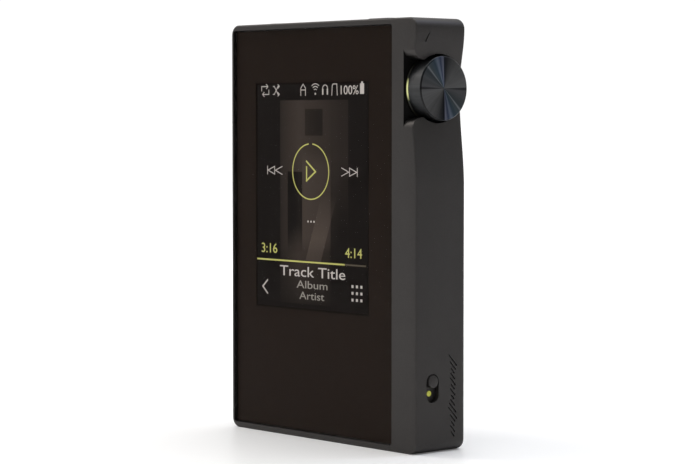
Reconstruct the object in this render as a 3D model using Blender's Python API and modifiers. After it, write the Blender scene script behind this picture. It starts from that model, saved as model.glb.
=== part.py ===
"""Pocket digital audio player: a machined housing with a flush front glass, a volume knob set into its
side, a hold switch, keys, sockets and the electronics inside. Metres, +Z up. X runs across the front,
Y from front to back, and the player stands on z = 0 with its middle on the Z axis."""

import math

import bmesh
import bpy
from mathutils import Matrix, Vector

# Housing
WIDTH = 0.063
DEPTH = 0.015
HEIGHT = 0.094
CORNER_RADIUS = 0.0023
FRONT_EDGE = 0.0004
BACK_EDGE = 0.0011
SCOOP_DEPTH = 0.00155
SCOOP_LOW = 0.057
SCOOP_HIGH = HEIGHT - CORNER_RADIUS

# Clearances
GAP = 0.0003
FINE_GAP = 0.0001
REVEAL = 0.00012
OVERRUN = 0.002

# Planes from front to back
FRONT = -DEPTH / 2
BACK = DEPTH / 2
SHELF_Y = -0.00615
WALL_BACK_Y = -0.0052
BOARD_LOW_Y = -0.0043
BOARD_HIGH_Y = -0.0035
PARTS_Y = BOARD_HIGH_Y + GAP
LEDGE_Y = 0.0062

# Front glass and display
GLASS_LEFT = -0.03063
GLASS_WIDTH = 0.05433
GLASS_BOTTOM = 0.0014
GLASS_HEIGHT = HEIGHT - 2 * GLASS_BOTTOM
GLASS_THICKNESS = 0.0008
PANEL_LOW = Vector((-0.02444, -0.0065, 0.0245))
PANEL_HIGH = Vector((0.01776, -0.0052, 0.0821))

# Cavity and back cover
CAVITY_LOW = Vector((-0.0284, WALL_BACK_Y, 0.0031))
CAVITY_HIGH = Vector((0.0217, BACK + OVERRUN, 0.0909))
BOSS = 0.0041
SCREW_INSET = 0.0018
COVER_LEFT = -0.0299
COVER_RIGHT = GLASS_LEFT + GLASS_WIDTH
COVER_MARGIN = 0.0016
COVER_CORNER = 0.0012

# Volume knob
KNOB_Z = 0.0788
KNOB_RADIUS = 0.007
KNOB_BACK = 0.0282
KNOB_FACE = 0.03232
POCKET_RADIUS = 0.0075
POCKET_WALL = 0.0275
SPINDLE_RADIUS = 0.0015
BUSH_BORE = 0.0018
BUSH_RADIUS = 0.0029

# Hold switch
HOLD_Y = -0.0025
HOLD_Z = 0.0141
HOLD_TRAVEL = 0.003
HOLD_SLOT = (0.0037, 0.0063)
HOLD_LIP = 0.00106
HOLD_CAP_RADIUS = 0.00142
HOLD_CAP_Z = HOLD_Z + HOLD_TRAVEL / 2
HOLD_MARK_Z = HOLD_Z - 0.0012
HOLD_PROUD = 0.0004

# Keys and sockets
KEY_SIZE = (0.003, 0.0054)
KEY_PROUD = 0.0004
KEY_HEIGHTS = {"previous": 0.07, "play": 0.062, "next": 0.054}
POWER_X = 0.0126
POWER_SIZE = (0.008, 0.003)
POWER_PROUD = 0.0005
FLANGE_MARGIN = 0.0007
FLANGE_THICKNESS = 0.0004
SWITCH_GAP = 0.0004
CARD_SLOTS = {"lower": 0.0194, "upper": 0.0352}
CARD_SLOT_Y = -0.0024
CARD_SLOT_SIZE = (0.0013, 0.0122)
USB_SIZE = (0.00894, 0.00326)

ROUND_STEPS = 24
KNOB_STEPS = 48

# Colour, roughness and metallic value of each finish
FINISHES = {
    "anodised": ((0.048, 0.045, 0.042), 0.5, 0.8),
    "glass": ((0.014, 0.011, 0.009), 0.06, 0.0),
    "spun_metal": ((0.16, 0.16, 0.165), 0.25, 1.0),
    "light_guide": ((0.62, 0.66, 0.12), 0.35, 0.0),
    "steel": ((0.45, 0.45, 0.46), 0.3, 1.0),
    "brass": ((0.6, 0.43, 0.16), 0.35, 1.0),
    "black_plastic": ((0.012, 0.012, 0.012), 0.45, 0.0),
    "circuit_board": ((0.01, 0.05, 0.025), 0.5, 0.0),
    "chip": ((0.015, 0.015, 0.017), 0.4, 0.0),
    "cell_wrap": ((0.05, 0.06, 0.1), 0.4, 0.0),
    "rubber": ((0.02, 0.02, 0.02), 0.8, 0.0),
    "flex": ((0.3, 0.14, 0.03), 0.5, 0.0),
}

# Rotations that turn local Z onto a world axis
ALONG = {
    "X": Matrix.Rotation(math.pi / 2, 3, "Y"),
    "Y": Matrix.Rotation(-math.pi / 2, 3, "X"),
    "Z": Matrix.Identity(3),
}

# Columns that lay a flat outline in the XZ plane or in the YZ plane
OUTLINE_PLANES = {
    "XZ": Matrix(((1, 0, 0), (0, 0, -1), (0, 1, 0))),
    "YZ": Matrix(((0, 0, 1), (1, 0, 0), (0, 1, 0))),
}


def clear_scene():
    for old in list(bpy.data.objects):
        bpy.data.objects.remove(old, do_unlink=True)


def new_collection(name, hidden=False):
    group = bpy.data.collections.new(name)
    group.hide_render = hidden
    bpy.context.scene.collection.children.link(group)
    return group


def new_material(name, finish):
    colour, roughness, metallic = FINISHES[finish]
    made = bpy.data.materials.new(name)
    made.use_nodes = True
    shader = made.node_tree.nodes["Principled BSDF"]
    shader.inputs["Base Color"].default_value = (*colour, 1.0)
    shader.inputs["Roughness"].default_value = roughness
    shader.inputs["Metallic"].default_value = metallic
    made.diffuse_color = (*colour, 1.0)
    return made


def add_object(name, mesh, place, finish=None):
    """Puts a mesh in the scene: a part if it has a finish, and otherwise a cutter."""
    made = bpy.data.objects.new(name, mesh)
    made.location = place
    if finish:
        mesh.materials.append(new_material(f"{name}_{finish}", finish))
        PARTS.objects.link(made)
    else:
        made.hide_render = True
        made.display_type = "WIRE"
        CUTTERS.objects.link(made)
    return made


def mesh_from(name, shape):
    mesh = bpy.data.meshes.new(name)
    shape.to_mesh(mesh)
    shape.free()
    return mesh


def smooth(made):
    made.data.shade_smooth()
    made.data.set_sharp_from_angle(angle=math.radians(35))
    return made


def edges_along(shape, axis):
    index = "XYZ".index(axis)
    others = [i for i in range(3) if i != index]
    return [
        edge
        for edge in shape.edges
        if all(abs(edge.verts[0].co[i] - edge.verts[1].co[i]) < 1e-7 for i in others)
    ]


def block(name, low, high, finish=None, axis="Z", radius=0.0, steps=3, origin=None):
    """A box between two corners, with the edges along one axis rounded."""
    low, high = Vector(low), Vector(high)
    middle = (low + high) / 2
    origin = middle if origin is None else Vector(origin)
    shape = bmesh.new()
    bmesh.ops.create_cube(shape, size=1.0)
    bmesh.ops.scale(shape, vec=high - low, verts=shape.verts)
    if radius:
        bmesh.ops.bevel(shape, geom=edges_along(shape, axis), offset=radius, segments=steps,
                        profile=0.5, affect="EDGES", offset_type="OFFSET", material=-1)
        bmesh.ops.remove_doubles(shape, verts=shape.verts, dist=1e-6)
    bmesh.ops.translate(shape, vec=middle - origin, verts=shape.verts)
    return add_object(name, mesh_from(name, shape), origin, finish)


def pill(name, middle, across, along, low, high, axis, finish=None, origin=None, steps=6):
    """A bar with half-round ends, from low to high on one axis. It is across wide and along long, in the
    order of the two other axes."""
    index = "XYZ".index(axis)
    half = [across / 2, along / 2]
    half.insert(index, (high - low) / 2)
    centre = list(middle)
    centre.insert(index, (low + high) / 2)
    radius = min(across, along) / 2 * 0.999
    centre, half = Vector(centre), Vector(half)
    return block(name, centre - half, centre + half, finish, axis, radius, steps, origin)


def rod(name, middle, radius, low, high, axis, finish=None, steps=ROUND_STEPS):
    """A round bar from low to high along one axis."""
    shape = bmesh.new()
    bmesh.ops.create_cone(shape, cap_ends=True, segments=steps, radius1=radius, radius2=radius,
                          depth=high - low)
    bmesh.ops.rotate(shape, cent=(0, 0, 0), matrix=ALONG[axis], verts=shape.verts)
    place = list(middle)
    place.insert("XYZ".index(axis), (low + high) / 2)
    return add_object(name, mesh_from(name, shape), place, finish)


def turned(name, profile, place, axis, finish, steps=ROUND_STEPS, ring=False):
    """A shape of revolution. The profile's points are (radius, height) from the top down the outside,
    and a ring's profile is closed."""
    mesh = bpy.data.meshes.new(name)
    edges = [(i, i + 1) for i in range(len(profile) - 1)]
    if ring:
        edges.append((len(profile) - 1, 0))
    mesh.from_pydata([(radius, 0, height) for radius, height in profile], edges, [])
    made = add_object(name, mesh, place, finish)
    made.rotation_euler = ALONG[axis].to_euler()
    spin = made.modifiers.new("Turn", "SCREW")
    spin.steps = spin.render_steps = steps
    spin.use_merge_vertices = True
    spin.merge_threshold = 1e-6
    return made


def outline_solid(name, points, low, high, plane, finish=None):
    """A flat outline given its thickness between low and high, across its plane."""
    flat = bpy.data.curves.new(name, "CURVE")
    flat.dimensions = "2D"
    flat.fill_mode = "BOTH"
    flat.extrude = (high - low) / 2
    line = flat.splines.new("POLY")
    line.points.add(len(points) - 1)
    for point, (u, v) in zip(line.points, points):
        point.co = (u, v, 0, 1)
    line.use_cyclic_u = True
    drawn = bpy.data.objects.new(name + "_outline", flat)
    bpy.context.scene.collection.objects.link(drawn)
    bpy.context.view_layer.update()
    graph = bpy.context.evaluated_depsgraph_get()
    mesh = bpy.data.meshes.new_from_object(drawn.evaluated_get(graph))
    bpy.data.objects.remove(drawn, do_unlink=True)
    shape = bmesh.new()
    shape.from_mesh(mesh)
    bpy.data.meshes.remove(mesh)
    bmesh.ops.remove_doubles(shape, verts=shape.verts, dist=1e-6)
    bmesh.ops.dissolve_limit(shape, angle_limit=math.radians(0.5), verts=shape.verts, edges=shape.edges)
    bmesh.ops.transform(shape, matrix=OUTLINE_PLANES[plane].to_4x4(), verts=shape.verts)
    bmesh.ops.recalc_face_normals(shape, faces=shape.faces)
    middle = (low + high) / 2
    place = (0, middle, 0) if plane == "XZ" else (middle, 0, 0)
    return add_object(name, mesh_from(name, shape), place, finish)


def boolean(target, other, operation="DIFFERENCE"):
    step = target.modifiers.new(other.name, "BOOLEAN")
    step.object = other
    step.operation = operation
    step.solver = "EXACT"


def joint_origin(name, place):
    """An empty on a joint's axis, which the pieces that move with it hang from."""
    pivot = bpy.data.objects.new(name, None)
    pivot.empty_display_size = 0.004
    pivot.location = place
    PARTS.objects.link(pivot)
    return pivot


def hang(pivot, *pieces):
    for piece in pieces:
        piece.parent = pivot
        piece.matrix_parent_inverse = Matrix.Translation(pivot.location).inverted()


def arc(centre, radius, start, steps):
    """A quarter turn about a centre, anticlockwise from the start angle in degrees."""
    for step in range(steps + 1):
        angle = math.radians(start + 90 * step / steps)
        yield centre[0] + radius * math.cos(angle), centre[1] + radius * math.sin(angle)


def scoop(height):
    """How far the right side is hollowed at a height, so that fingers reach the knob."""
    if height < KNOB_Z:
        rise = (height - SCOOP_LOW) / (KNOB_Z - SCOOP_LOW)
    else:
        rise = (SCOOP_HIGH - height) / (SCOOP_HIGH - KNOB_Z)
    rise = min(max(rise, 0.0), 1.0)
    return SCOOP_DEPTH * rise * rise * (3 - 2 * rise)


def housing_outline():
    side = WIDTH / 2
    inner = side - CORNER_RADIUS
    corner_steps, side_steps = 5, 12
    points = list(arc((-inner, CORNER_RADIUS), CORNER_RADIUS, 180, corner_steps))
    points += arc((inner, CORNER_RADIUS), CORNER_RADIUS, 270, corner_steps)
    for step in range(side_steps):
        height = SCOOP_LOW + (SCOOP_HIGH - SCOOP_LOW) * step / side_steps
        points.append((side - scoop(height), height))
    points += arc((inner, SCOOP_HIGH), CORNER_RADIUS, 0, corner_steps)
    points += arc((-inner, SCOOP_HIGH), CORNER_RADIUS, 90, corner_steps)
    return points


def round_rim(made, side_y, radius, steps):
    """Rounds the rim of an outline solid on the side where its local y is side_y."""
    shape = bmesh.new()
    shape.from_mesh(made.data)
    rim = [
        edge
        for edge in shape.edges
        if all(abs(vert.co.y - side_y) < 1e-7 for vert in edge.verts)
        and edge.calc_face_angle(0) > math.radians(60)
    ]
    bmesh.ops.bevel(shape, geom=rim, offset=radius, segments=steps, profile=0.5, affect="EDGES",
                    offset_type="OFFSET", material=-1)
    shape.to_mesh(made.data)
    shape.free()


def cavity_outline():
    """The cavity seen from behind, with a quarter-round screw boss left in each corner."""
    left, right = CAVITY_LOW.x, CAVITY_HIGH.x
    low, high = CAVITY_LOW.z, CAVITY_HIGH.z
    points = []
    for corner, start in (((left, low), 0), ((right, low), 90), ((right, high), 180), ((left, high), 270)):
        points += reversed(list(arc(corner, BOSS, start, 4)))
    return points


def cover_screw_places():
    for x in (CAVITY_LOW.x + SCREW_INSET, CAVITY_HIGH.x - SCREW_INSET):
        for z in (CAVITY_LOW.z + SCREW_INSET, CAVITY_HIGH.z - SCREW_INSET):
            yield x, z


def board_screw_places():
    return [(0.0193, 0.0495), (0.0193, 0.085), (-0.0168, 0.0846), (-0.0264, 0.0443)]


def cut_front(housing):
    """The glass recess, and the display's window through the shelf behind it."""
    recess = block("cut_glass", (GLASS_LEFT - REVEAL, FRONT - OVERRUN, GLASS_BOTTOM - REVEAL),
                   (GLASS_LEFT + GLASS_WIDTH + REVEAL, SHELF_Y, GLASS_BOTTOM + GLASS_HEIGHT + REVEAL),
                   axis="Y", radius=0.0006, steps=2)
    margin = Vector((GAP, 0, GAP))
    window_low = PANEL_LOW - margin
    window_high = PANEL_HIGH + margin
    window_low.y, window_high.y = SHELF_Y - OVERRUN / 4, WALL_BACK_Y + OVERRUN
    boolean(housing, recess)
    boolean(housing, block("cut_display", window_low, window_high))


def cut_back(housing):
    """The cavity, the back cover's recess and the screw holes."""
    cavity = outline_solid("cut_cavity", cavity_outline(), CAVITY_LOW.y, CAVITY_HIGH.y, "XZ")
    low = (COVER_LEFT - REVEAL, LEDGE_Y, COVER_MARGIN - REVEAL)
    high = (COVER_RIGHT + REVEAL, BACK + OVERRUN, HEIGHT - COVER_MARGIN + REVEAL)
    boolean(housing, cavity)
    boolean(housing, block("cut_cover", low, high, axis="Y", radius=COVER_CORNER))
    tapping_radius, tapping_depth = 0.00075, 0.0045
    for x, z in cover_screw_places():
        hole = rod("cut_cover_screw", (x, z), tapping_radius, LEDGE_Y - tapping_depth,
                   LEDGE_Y + OVERRUN, "Y", steps=12)
        boolean(housing, hole)
    pilot_radius, pilot_depth = 0.00065, 0.0007
    for x, z in board_screw_places():
        hole = rod("cut_board_screw", (x, z), pilot_radius, WALL_BACK_Y - pilot_depth,
                   WALL_BACK_Y + OVERRUN, "Y", steps=12)
        boolean(housing, hole)


def cut_knob_pocket(housing):
    """A round pocket open to the front and the back, with flared walls on the front, and the encoder's
    chamber and bush hole behind its wall."""
    outside = WIDTH / 2 + OVERRUN
    pocket = rod("cut_pocket", (0, KNOB_Z), POCKET_RADIUS, POCKET_WALL, outside, "X", steps=KNOB_STEPS)
    flare_start, start_half = -0.0043, 0.0061
    flare_end, end_half = FRONT - OVERRUN, 0.0093
    flare = outline_solid("cut_flare", [
        (flare_start, KNOB_Z + start_half), (flare_end, KNOB_Z + end_half),
        (flare_end, KNOB_Z - end_half), (flare_start, KNOB_Z - start_half),
    ], POCKET_WALL, outside, "YZ")
    window_half, window_start = 0.0046, 0.0052
    window = block("cut_pocket_back", (POCKET_WALL, window_start, KNOB_Z - window_half),
                   (outside, BACK + OVERRUN, KNOB_Z + window_half))
    chamber_end, chamber_half_y, chamber_half_z = 0.026, 0.0049, 0.0048
    chamber = block("cut_encoder", (CAVITY_HIGH.x - OVERRUN, -chamber_half_y, KNOB_Z - chamber_half_z),
                    (chamber_end, chamber_half_y, KNOB_Z + chamber_half_z))
    bush = rod("cut_bush", (0, KNOB_Z), BUSH_RADIUS + FINE_GAP * 2, chamber_end - OVERRUN,
               POCKET_WALL + OVERRUN, "X")
    for cutter in (flare, window, pocket, chamber, bush):
        boolean(housing, cutter)


def cut_hold_switch(housing):
    """The slot in the side and the wider chamber that the slider's blade runs in."""
    slot = pill("cut_hold_slot", (HOLD_Y, HOLD_Z), *HOLD_SLOT, WIDTH / 2 - HOLD_LIP - FINE_GAP,
                WIDTH / 2 + OVERRUN, "X")
    half_y, low_z, high_z = 0.0027, HOLD_Z - 0.007, HOLD_Z + 0.0068
    chamber = block("cut_hold_chamber", (CAVITY_HIGH.x - OVERRUN, HOLD_Y - half_y, low_z),
                    (WIDTH / 2 - HOLD_LIP, HOLD_Y + half_y, high_z))
    boolean(housing, slot)
    boolean(housing, chamber)


def cut_sockets(housing):
    """The holes for the keys, cards, plugs and the power key."""
    outside, inside = -WIDTH / 2 - OVERRUN, CAVITY_LOW.x + OVERRUN
    for name, height in KEY_HEIGHTS.items():
        boolean(housing, pill(f"cut_{name}", (0, height), KEY_SIZE[0] + 2 * FINE_GAP,
                              KEY_SIZE[1] + 2 * FINE_GAP, outside, inside, "X"))
    for name, height in CARD_SLOTS.items():
        boolean(housing, pill(f"cut_card_{name}", (CARD_SLOT_Y, height), *CARD_SLOT_SIZE, outside,
                              inside, "X", steps=3))
    boolean(housing, pill("cut_usb", (0, 0), USB_SIZE[0] + GAP, USB_SIZE[1] + GAP, -OVERRUN,
                          CAVITY_LOW.z + OVERRUN, "Z"))
    boolean(housing, pill("cut_power", (POWER_X, 0), POWER_SIZE[0] + 2 * FINE_GAP,
                          POWER_SIZE[1] + 2 * FINE_GAP, CAVITY_HIGH.z - OVERRUN, HEIGHT + OVERRUN, "Z"))
    for name, (x, _, nose, _, ring) in JACKS.items():
        boolean(housing, rod(f"cut_{name}_nose", (x, 0), nose + FINE_GAP, CAVITY_HIGH.z - OVERRUN,
                             HEIGHT + OVERRUN, "Z"))
        boolean(housing, rod(f"cut_{name}_ring", (x, 0), ring + FINE_GAP, RING_BASE, HEIGHT + OVERRUN,
                             "Z"))


def make_housing():
    housing = outline_solid("housing", housing_outline(), FRONT, BACK, "XZ", "anodised")
    round_rim(housing, -DEPTH / 2, FRONT_EDGE, 2)
    round_rim(housing, DEPTH / 2, BACK_EDGE, 3)
    cut_front(housing)
    cut_back(housing)
    cut_knob_pocket(housing)
    cut_hold_switch(housing)
    cut_sockets(housing)


def make_back_cover():
    """A plate let into the back, with countersunk screws at its corners and a plastic antenna window."""
    inner_y = LEDGE_Y + FINE_GAP
    cover = block("back_cover", (COVER_LEFT, inner_y, COVER_MARGIN),
                  (COVER_RIGHT, BACK, HEIGHT - COVER_MARGIN), "anodised", axis="Y", radius=COVER_CORNER)
    head_radius, head_depth, shank_radius = 0.00115, 0.0006, 0.0006
    for number, (x, z) in enumerate(cover_screw_places(), 1):
        boolean(cover, rod("cut_head", (x, z), head_radius + GAP / 2, BACK - head_depth - FINE_GAP,
                           BACK + OVERRUN, "Y", steps=16))
        boolean(cover, rod("cut_shank", (x, z), shank_radius + GAP / 2, inner_y - OVERRUN,
                           BACK + OVERRUN, "Y", steps=12))
        top, length = -FINE_GAP / 2, 0.005
        make_screw(f"back_screw_{number}", (x, BACK + top, z), head_radius, head_depth - FINE_GAP / 2,
                   shank_radius, length)
    window_low, window_high = (-0.014, 0.0825), (0.008, 0.0865)
    window_corner = 0.0008
    clear = REVEAL
    boolean(cover, block("cut_window", (window_low[0] - clear, inner_y - OVERRUN, window_low[1] - clear),
                         (window_high[0] + clear, BACK + OVERRUN, window_high[1] + clear), axis="Y",
                         radius=window_corner + clear))
    block("antenna_window", (window_low[0], inner_y, window_low[1]),
          (window_high[0], BACK, window_high[1]), "black_plastic", axis="Y", radius=window_corner)
    board_margin, board_low, board_high = 0.002, 0.0054, 0.0058
    block("antenna_board", (window_low[0] - board_margin, board_low, window_low[1] - board_margin),
          (window_high[0] + board_margin, board_high, window_high[1] + board_margin), "circuit_board")


def make_screw(name, place, head_radius, head_depth, shank_radius, length):
    """A screw with a round head and a blind driver recess, driven in from the back."""
    drive_radius, drive_depth = head_radius * 0.45, head_depth * 0.6
    turned(name, [
        (0, -drive_depth), (drive_radius, -drive_depth), (drive_radius, 0), (head_radius * 0.9, 0),
        (head_radius, -head_depth * 0.2), (head_radius, -head_depth), (shank_radius, -head_depth),
        (shank_radius, -length), (0, -length),
    ], place, "Y", "steel", steps=16)


def make_front():
    """The glass, the gasket that seals it, and the display behind it."""
    glass_y = FRONT + FINE_GAP / 2
    block("front_glass", (GLASS_LEFT, glass_y, GLASS_BOTTOM),
          (GLASS_LEFT + GLASS_WIDTH, glass_y + GLASS_THICKNESS, GLASS_BOTTOM + GLASS_HEIGHT), "glass",
          axis="Y", radius=0.0005, steps=2)
    rim, gasket_low, gasket_high = 0.0004, glass_y + GLASS_THICKNESS + FINE_GAP, SHELF_Y - FINE_GAP
    gasket = block("glass_gasket", (GLASS_LEFT + rim, gasket_low, GLASS_BOTTOM + rim),
                   (GLASS_LEFT + GLASS_WIDTH - rim, gasket_high, GLASS_BOTTOM + GLASS_HEIGHT - rim),
                   "rubber")
    margin = 0.0006
    boolean(gasket, block("cut_gasket", (PANEL_LOW.x - margin, gasket_low - OVERRUN, PANEL_LOW.z - margin),
                          (PANEL_HIGH.x + margin, gasket_high + OVERRUN, PANEL_HIGH.z + margin)))
    block("display_panel", PANEL_LOW, PANEL_HIGH - Vector((0, FINE_GAP, 0)), "glass")
    bracket_low, bracket_high, border, opening = -0.005, -0.0046, 0.0006, 0.006
    bracket = block("display_bracket", (PANEL_LOW.x - border, bracket_low, PANEL_LOW.z - border),
                    (PANEL_HIGH.x + border, bracket_high, PANEL_HIGH.z + border), "steel")
    boolean(bracket, block("cut_bracket",
                           (PANEL_LOW.x + opening, bracket_low - OVERRUN, PANEL_LOW.z + opening),
                           (PANEL_HIGH.x - opening, bracket_high + OVERRUN, PANEL_HIGH.z - opening)))


def make_display_flex():
    """A ribbon that runs up behind the bracket and folds over the main board's lower edge."""
    left, right, thickness = -0.01, 0.004, 0.00015
    run = [(-0.0044, 0.0305), (-0.0044, 0.044), (-0.0031, 0.0459), (-0.0031, 0.0501)]
    shape = bmesh.new()
    first = [shape.verts.new((left, *run[0])), shape.verts.new((right, *run[0]))]
    edge = shape.edges.new(first)
    for start, end in zip(run, run[1:]):
        raised = bmesh.ops.extrude_edge_only(shape, edges=[edge])["geom"]
        verts = [item for item in raised if isinstance(item, bmesh.types.BMVert)]
        bmesh.ops.translate(shape, vec=(0, end[0] - start[0], end[1] - start[1]), verts=verts)
        edge = next(item for item in raised if isinstance(item, bmesh.types.BMEdge))
    ribbon = add_object("display_flex", mesh_from("display_flex", shape), (0, 0, 0), "flex")
    thick = ribbon.modifiers.new("Thickness", "SOLIDIFY")
    thick.thickness = thickness
    thick.offset = 0
    connector_depth, connector_height = 0.0009, 0.0026
    block("display_connector", (left, PARTS_Y, run[-1][1] + GAP),
          (right, PARTS_Y + connector_depth, run[-1][1] + GAP + connector_height), "black_plastic")


def make_battery():
    low, high = Vector((-0.0132, -0.0034, 0.0086)), Vector((0.0206, 0.0036, 0.044))
    block("battery", low, high, "cell_wrap", axis="Z", radius=0.0015)
    guard_low, guard_height = (-0.008, -0.0014), 0.0019
    block("battery_board", (*guard_low, high.z + GAP), (0.012, 0.0014, high.z + GAP + guard_height),
          "circuit_board")
    block("battery_connector", (0.012, PARTS_Y, 0.048), (0.017, PARTS_Y + 0.0014, 0.0505),
          "black_plastic")


def make_main_board():
    """An L-shaped board: the audio and processor parts above, and the card sockets down one side."""
    board = outline_solid("main_board", [
        (-0.0279, 0.0094), (-0.0142, 0.0094), (-0.0142, 0.0465), (0.0205, 0.0465), (0.0205, 0.0864),
        (-0.0234, 0.0864), (-0.0234, 0.0458), (-0.0279, 0.0458),
    ], BOARD_LOW_Y, BOARD_HIGH_Y, "XZ", "circuit_board")
    hole_radius, head_radius, head_depth, shank_radius, length = 0.00065, 0.001, 0.0006, 0.0005, 0.0028
    for number, (x, z) in enumerate(board_screw_places(), 1):
        boolean(board, rod("cut_board_hole", (x, z), hole_radius, BOARD_LOW_Y - OVERRUN,
                           BOARD_HIGH_Y + OVERRUN, "Y", steps=12))
        make_screw(f"board_screw_{number}", (x, BOARD_HIGH_Y + FINE_GAP + head_depth, z), head_radius,
                   head_depth, shank_radius, length)
    chips = {
        "processor_shield": ((0.0, 0.065), (0.016, 0.014), 0.0018, "steel"),
        "memory_chip": ((0.013, 0.062), (0.009, 0.007), 0.0009, "chip"),
        "converter_chip_left": ((-0.015, 0.072), (0.005, 0.005), 0.0009, "chip"),
        "converter_chip_right": ((-0.015, 0.064), (0.005, 0.005), 0.0009, "chip"),
        "amplifier_chip_left": ((-0.0203, 0.072), (0.004, 0.004), 0.0008, "chip"),
        "amplifier_chip_right": ((-0.0203, 0.064), (0.004, 0.004), 0.0008, "chip"),
        "oscillator_1": ((-0.0155, 0.0575), (0.0032, 0.0025), 0.0008, "steel"),
        "oscillator_2": ((-0.0115, 0.0575), (0.0032, 0.0025), 0.0008, "steel"),
    }
    for name, ((x, z), (width, height), depth, finish) in chips.items():
        block(name, (x - width / 2, PARTS_Y, z - height / 2),
              (x + width / 2, PARTS_Y + depth, z + height / 2), finish)


# Sockets on the top: place, body half width, nose radius, bore radius and trim ring radius
JACKS = {
    "headphone": (-0.0213, 0.0028, 0.0026, 0.00175, 0.0033),
    "balanced": (-0.0128, 0.0024, 0.0021, 0.00125, 0.0028),
}
JACK_BODY_TOP = 0.0906
JACK_BODY_LENGTH = 0.0095
NOSE_TOP = 0.0929
RING_BASE = 0.093
RING_PROUD = 0.0003


def make_jacks():
    for name, (x, half, nose, bore, ring) in JACKS.items():
        body_low = JACK_BODY_TOP - JACK_BODY_LENGTH
        socket = block(f"{name}_jack", (x - half, -half, body_low), (x + half, half, JACK_BODY_TOP),
                       "black_plastic")
        boolean(socket, rod(f"join_{name}_nose", (x, 0), nose, JACK_BODY_TOP - 0.001, NOSE_TOP, "Z"),
                "UNION")
        boolean(socket, rod(f"cut_{name}_bore", (x, 0), bore, body_low + 0.001, NOSE_TOP + OVERRUN, "Z",
                            steps=16))
        base, top, chamfer = RING_BASE + FINE_GAP, HEIGHT + RING_PROUD, 0.0002
        inner = bore + FINE_GAP
        turned(f"{name}_ring", [
            (inner, top - chamfer), (inner + chamfer, top), (ring - chamfer, top), (ring, top - chamfer),
            (ring, base), (inner, base),
        ], (x, 0, 0), "Z", "spun_metal", ring=True)


def make_tact_switch(name, low, high, plunger_place, plunger_low, plunger_high, axis):
    body = block(name, low, high, "black_plastic")
    plunger_radius = 0.0007
    boolean(body, rod(f"join_{name}_plunger", plunger_place, plunger_radius, plunger_low, plunger_high,
                      axis, steps=12), "UNION")


def make_keys():
    """Three keys on the left side, each with a flange inside the wall and a switch behind it."""
    face = -WIDTH / 2 - KEY_PROUD
    flange_face = CAVITY_LOW.x + FINE_GAP
    flange_back = flange_face + FLANGE_THICKNESS
    tip = flange_back + SWITCH_GAP
    plunger, switch_depth, half = 0.0003, 0.0015, 0.0016
    board_x = tip + plunger + switch_depth + GAP
    for name, height in KEY_HEIGHTS.items():
        pivot = joint_origin(f"{name}_travel", (face, 0, height))
        key = pill(f"{name}_button", (0, height), *KEY_SIZE, face, flange_face + FINE_GAP, "X",
                   "spun_metal", origin=(face, 0, height))
        flange = pill(f"join_{name}_flange", (0, height), KEY_SIZE[0] + 2 * FLANGE_MARGIN,
                      KEY_SIZE[1] + 2 * FLANGE_MARGIN, flange_face, flange_back, "X",
                      origin=(face, 0, height))
        boolean(key, flange, "UNION")
        hang(pivot, key, flange)
        make_tact_switch(f"{name}_switch", (tip + plunger, -half, height - half),
                         (tip + plunger + switch_depth, half, height + half), (0, height), tip,
                         tip + plunger + switch_depth / 2, "X")
    board_thickness, board_half = 0.0006, 0.003
    block("button_board", (board_x, -board_half, 0.0485), (board_x + board_thickness, board_half, 0.076),
          "circuit_board")


def make_power_key():
    face = HEIGHT + POWER_PROUD
    flange_top = CAVITY_HIGH.z - FINE_GAP
    flange_low = flange_top - FLANGE_THICKNESS
    place = (POWER_X, 0, face)
    pivot = joint_origin("power_travel", place)
    key = pill("power_button", (POWER_X, 0), *POWER_SIZE, flange_top - FINE_GAP, face, "Z", "spun_metal",
               origin=place)
    flange = pill("join_power_flange", (POWER_X, 0), POWER_SIZE[0] + 2 * FLANGE_MARGIN,
                  POWER_SIZE[1] + 2 * FLANGE_MARGIN, flange_low, flange_top, "Z", origin=place)
    boolean(key, flange, "UNION")
    hang(pivot, key, flange)
    tip, plunger, height = flange_low - SWITCH_GAP - FINE_GAP / 2, 0.0003, 0.0055
    plunger_y, half_x, back_y = -0.0014, 0.0024, 0.0002
    top = tip - plunger
    make_tact_switch("power_switch", (POWER_X - half_x, PARTS_Y, top - height),
                     (POWER_X + half_x, back_y, top), (POWER_X, plunger_y), top - plunger, tip, "Z")


def make_card_sockets():
    front, back, half_height, depth_x = PARTS_Y, -0.0014, 0.0068, 0.0137
    mouth = CAVITY_LOW.x + GAP
    slot_half, card_half, card_depth = 0.00045, 0.0056, 0.0125
    for name, height in CARD_SLOTS.items():
        socket = block(f"card_socket_{name}", (mouth, front, height - half_height),
                       (mouth + depth_x, back, height + half_height), "steel")
        boolean(socket, block(f"cut_card_socket_{name}",
                              (mouth - OVERRUN, CARD_SLOT_Y - slot_half, height - card_half),
                              (mouth + card_depth, CARD_SLOT_Y + slot_half, height + card_half)))


def make_usb_port():
    base, top, wall = 0.00025, 0.0074, 0.0003
    shell = pill("usb_shell", (0, 0), *USB_SIZE, base, top, "Z", "steel")
    boolean(shell, pill("cut_usb_shell", (0, 0), USB_SIZE[0] - 2 * wall, USB_SIZE[1] - 2 * wall,
                        base - OVERRUN, top - wall, "Z"))
    half_x, half_y, low = 0.00335, 0.00035, 0.0014
    block("usb_tongue", (-half_x, -half_y, low), (half_x, half_y, top - wall - GAP), "black_plastic")
    board_half, board_low, board_high, board_top = 0.008, 0.002, 0.0028, 0.0082
    block("usb_board", (-board_half, board_low, CAVITY_LOW.z + GAP), (board_half, board_high, board_top),
          "circuit_board")


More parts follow.
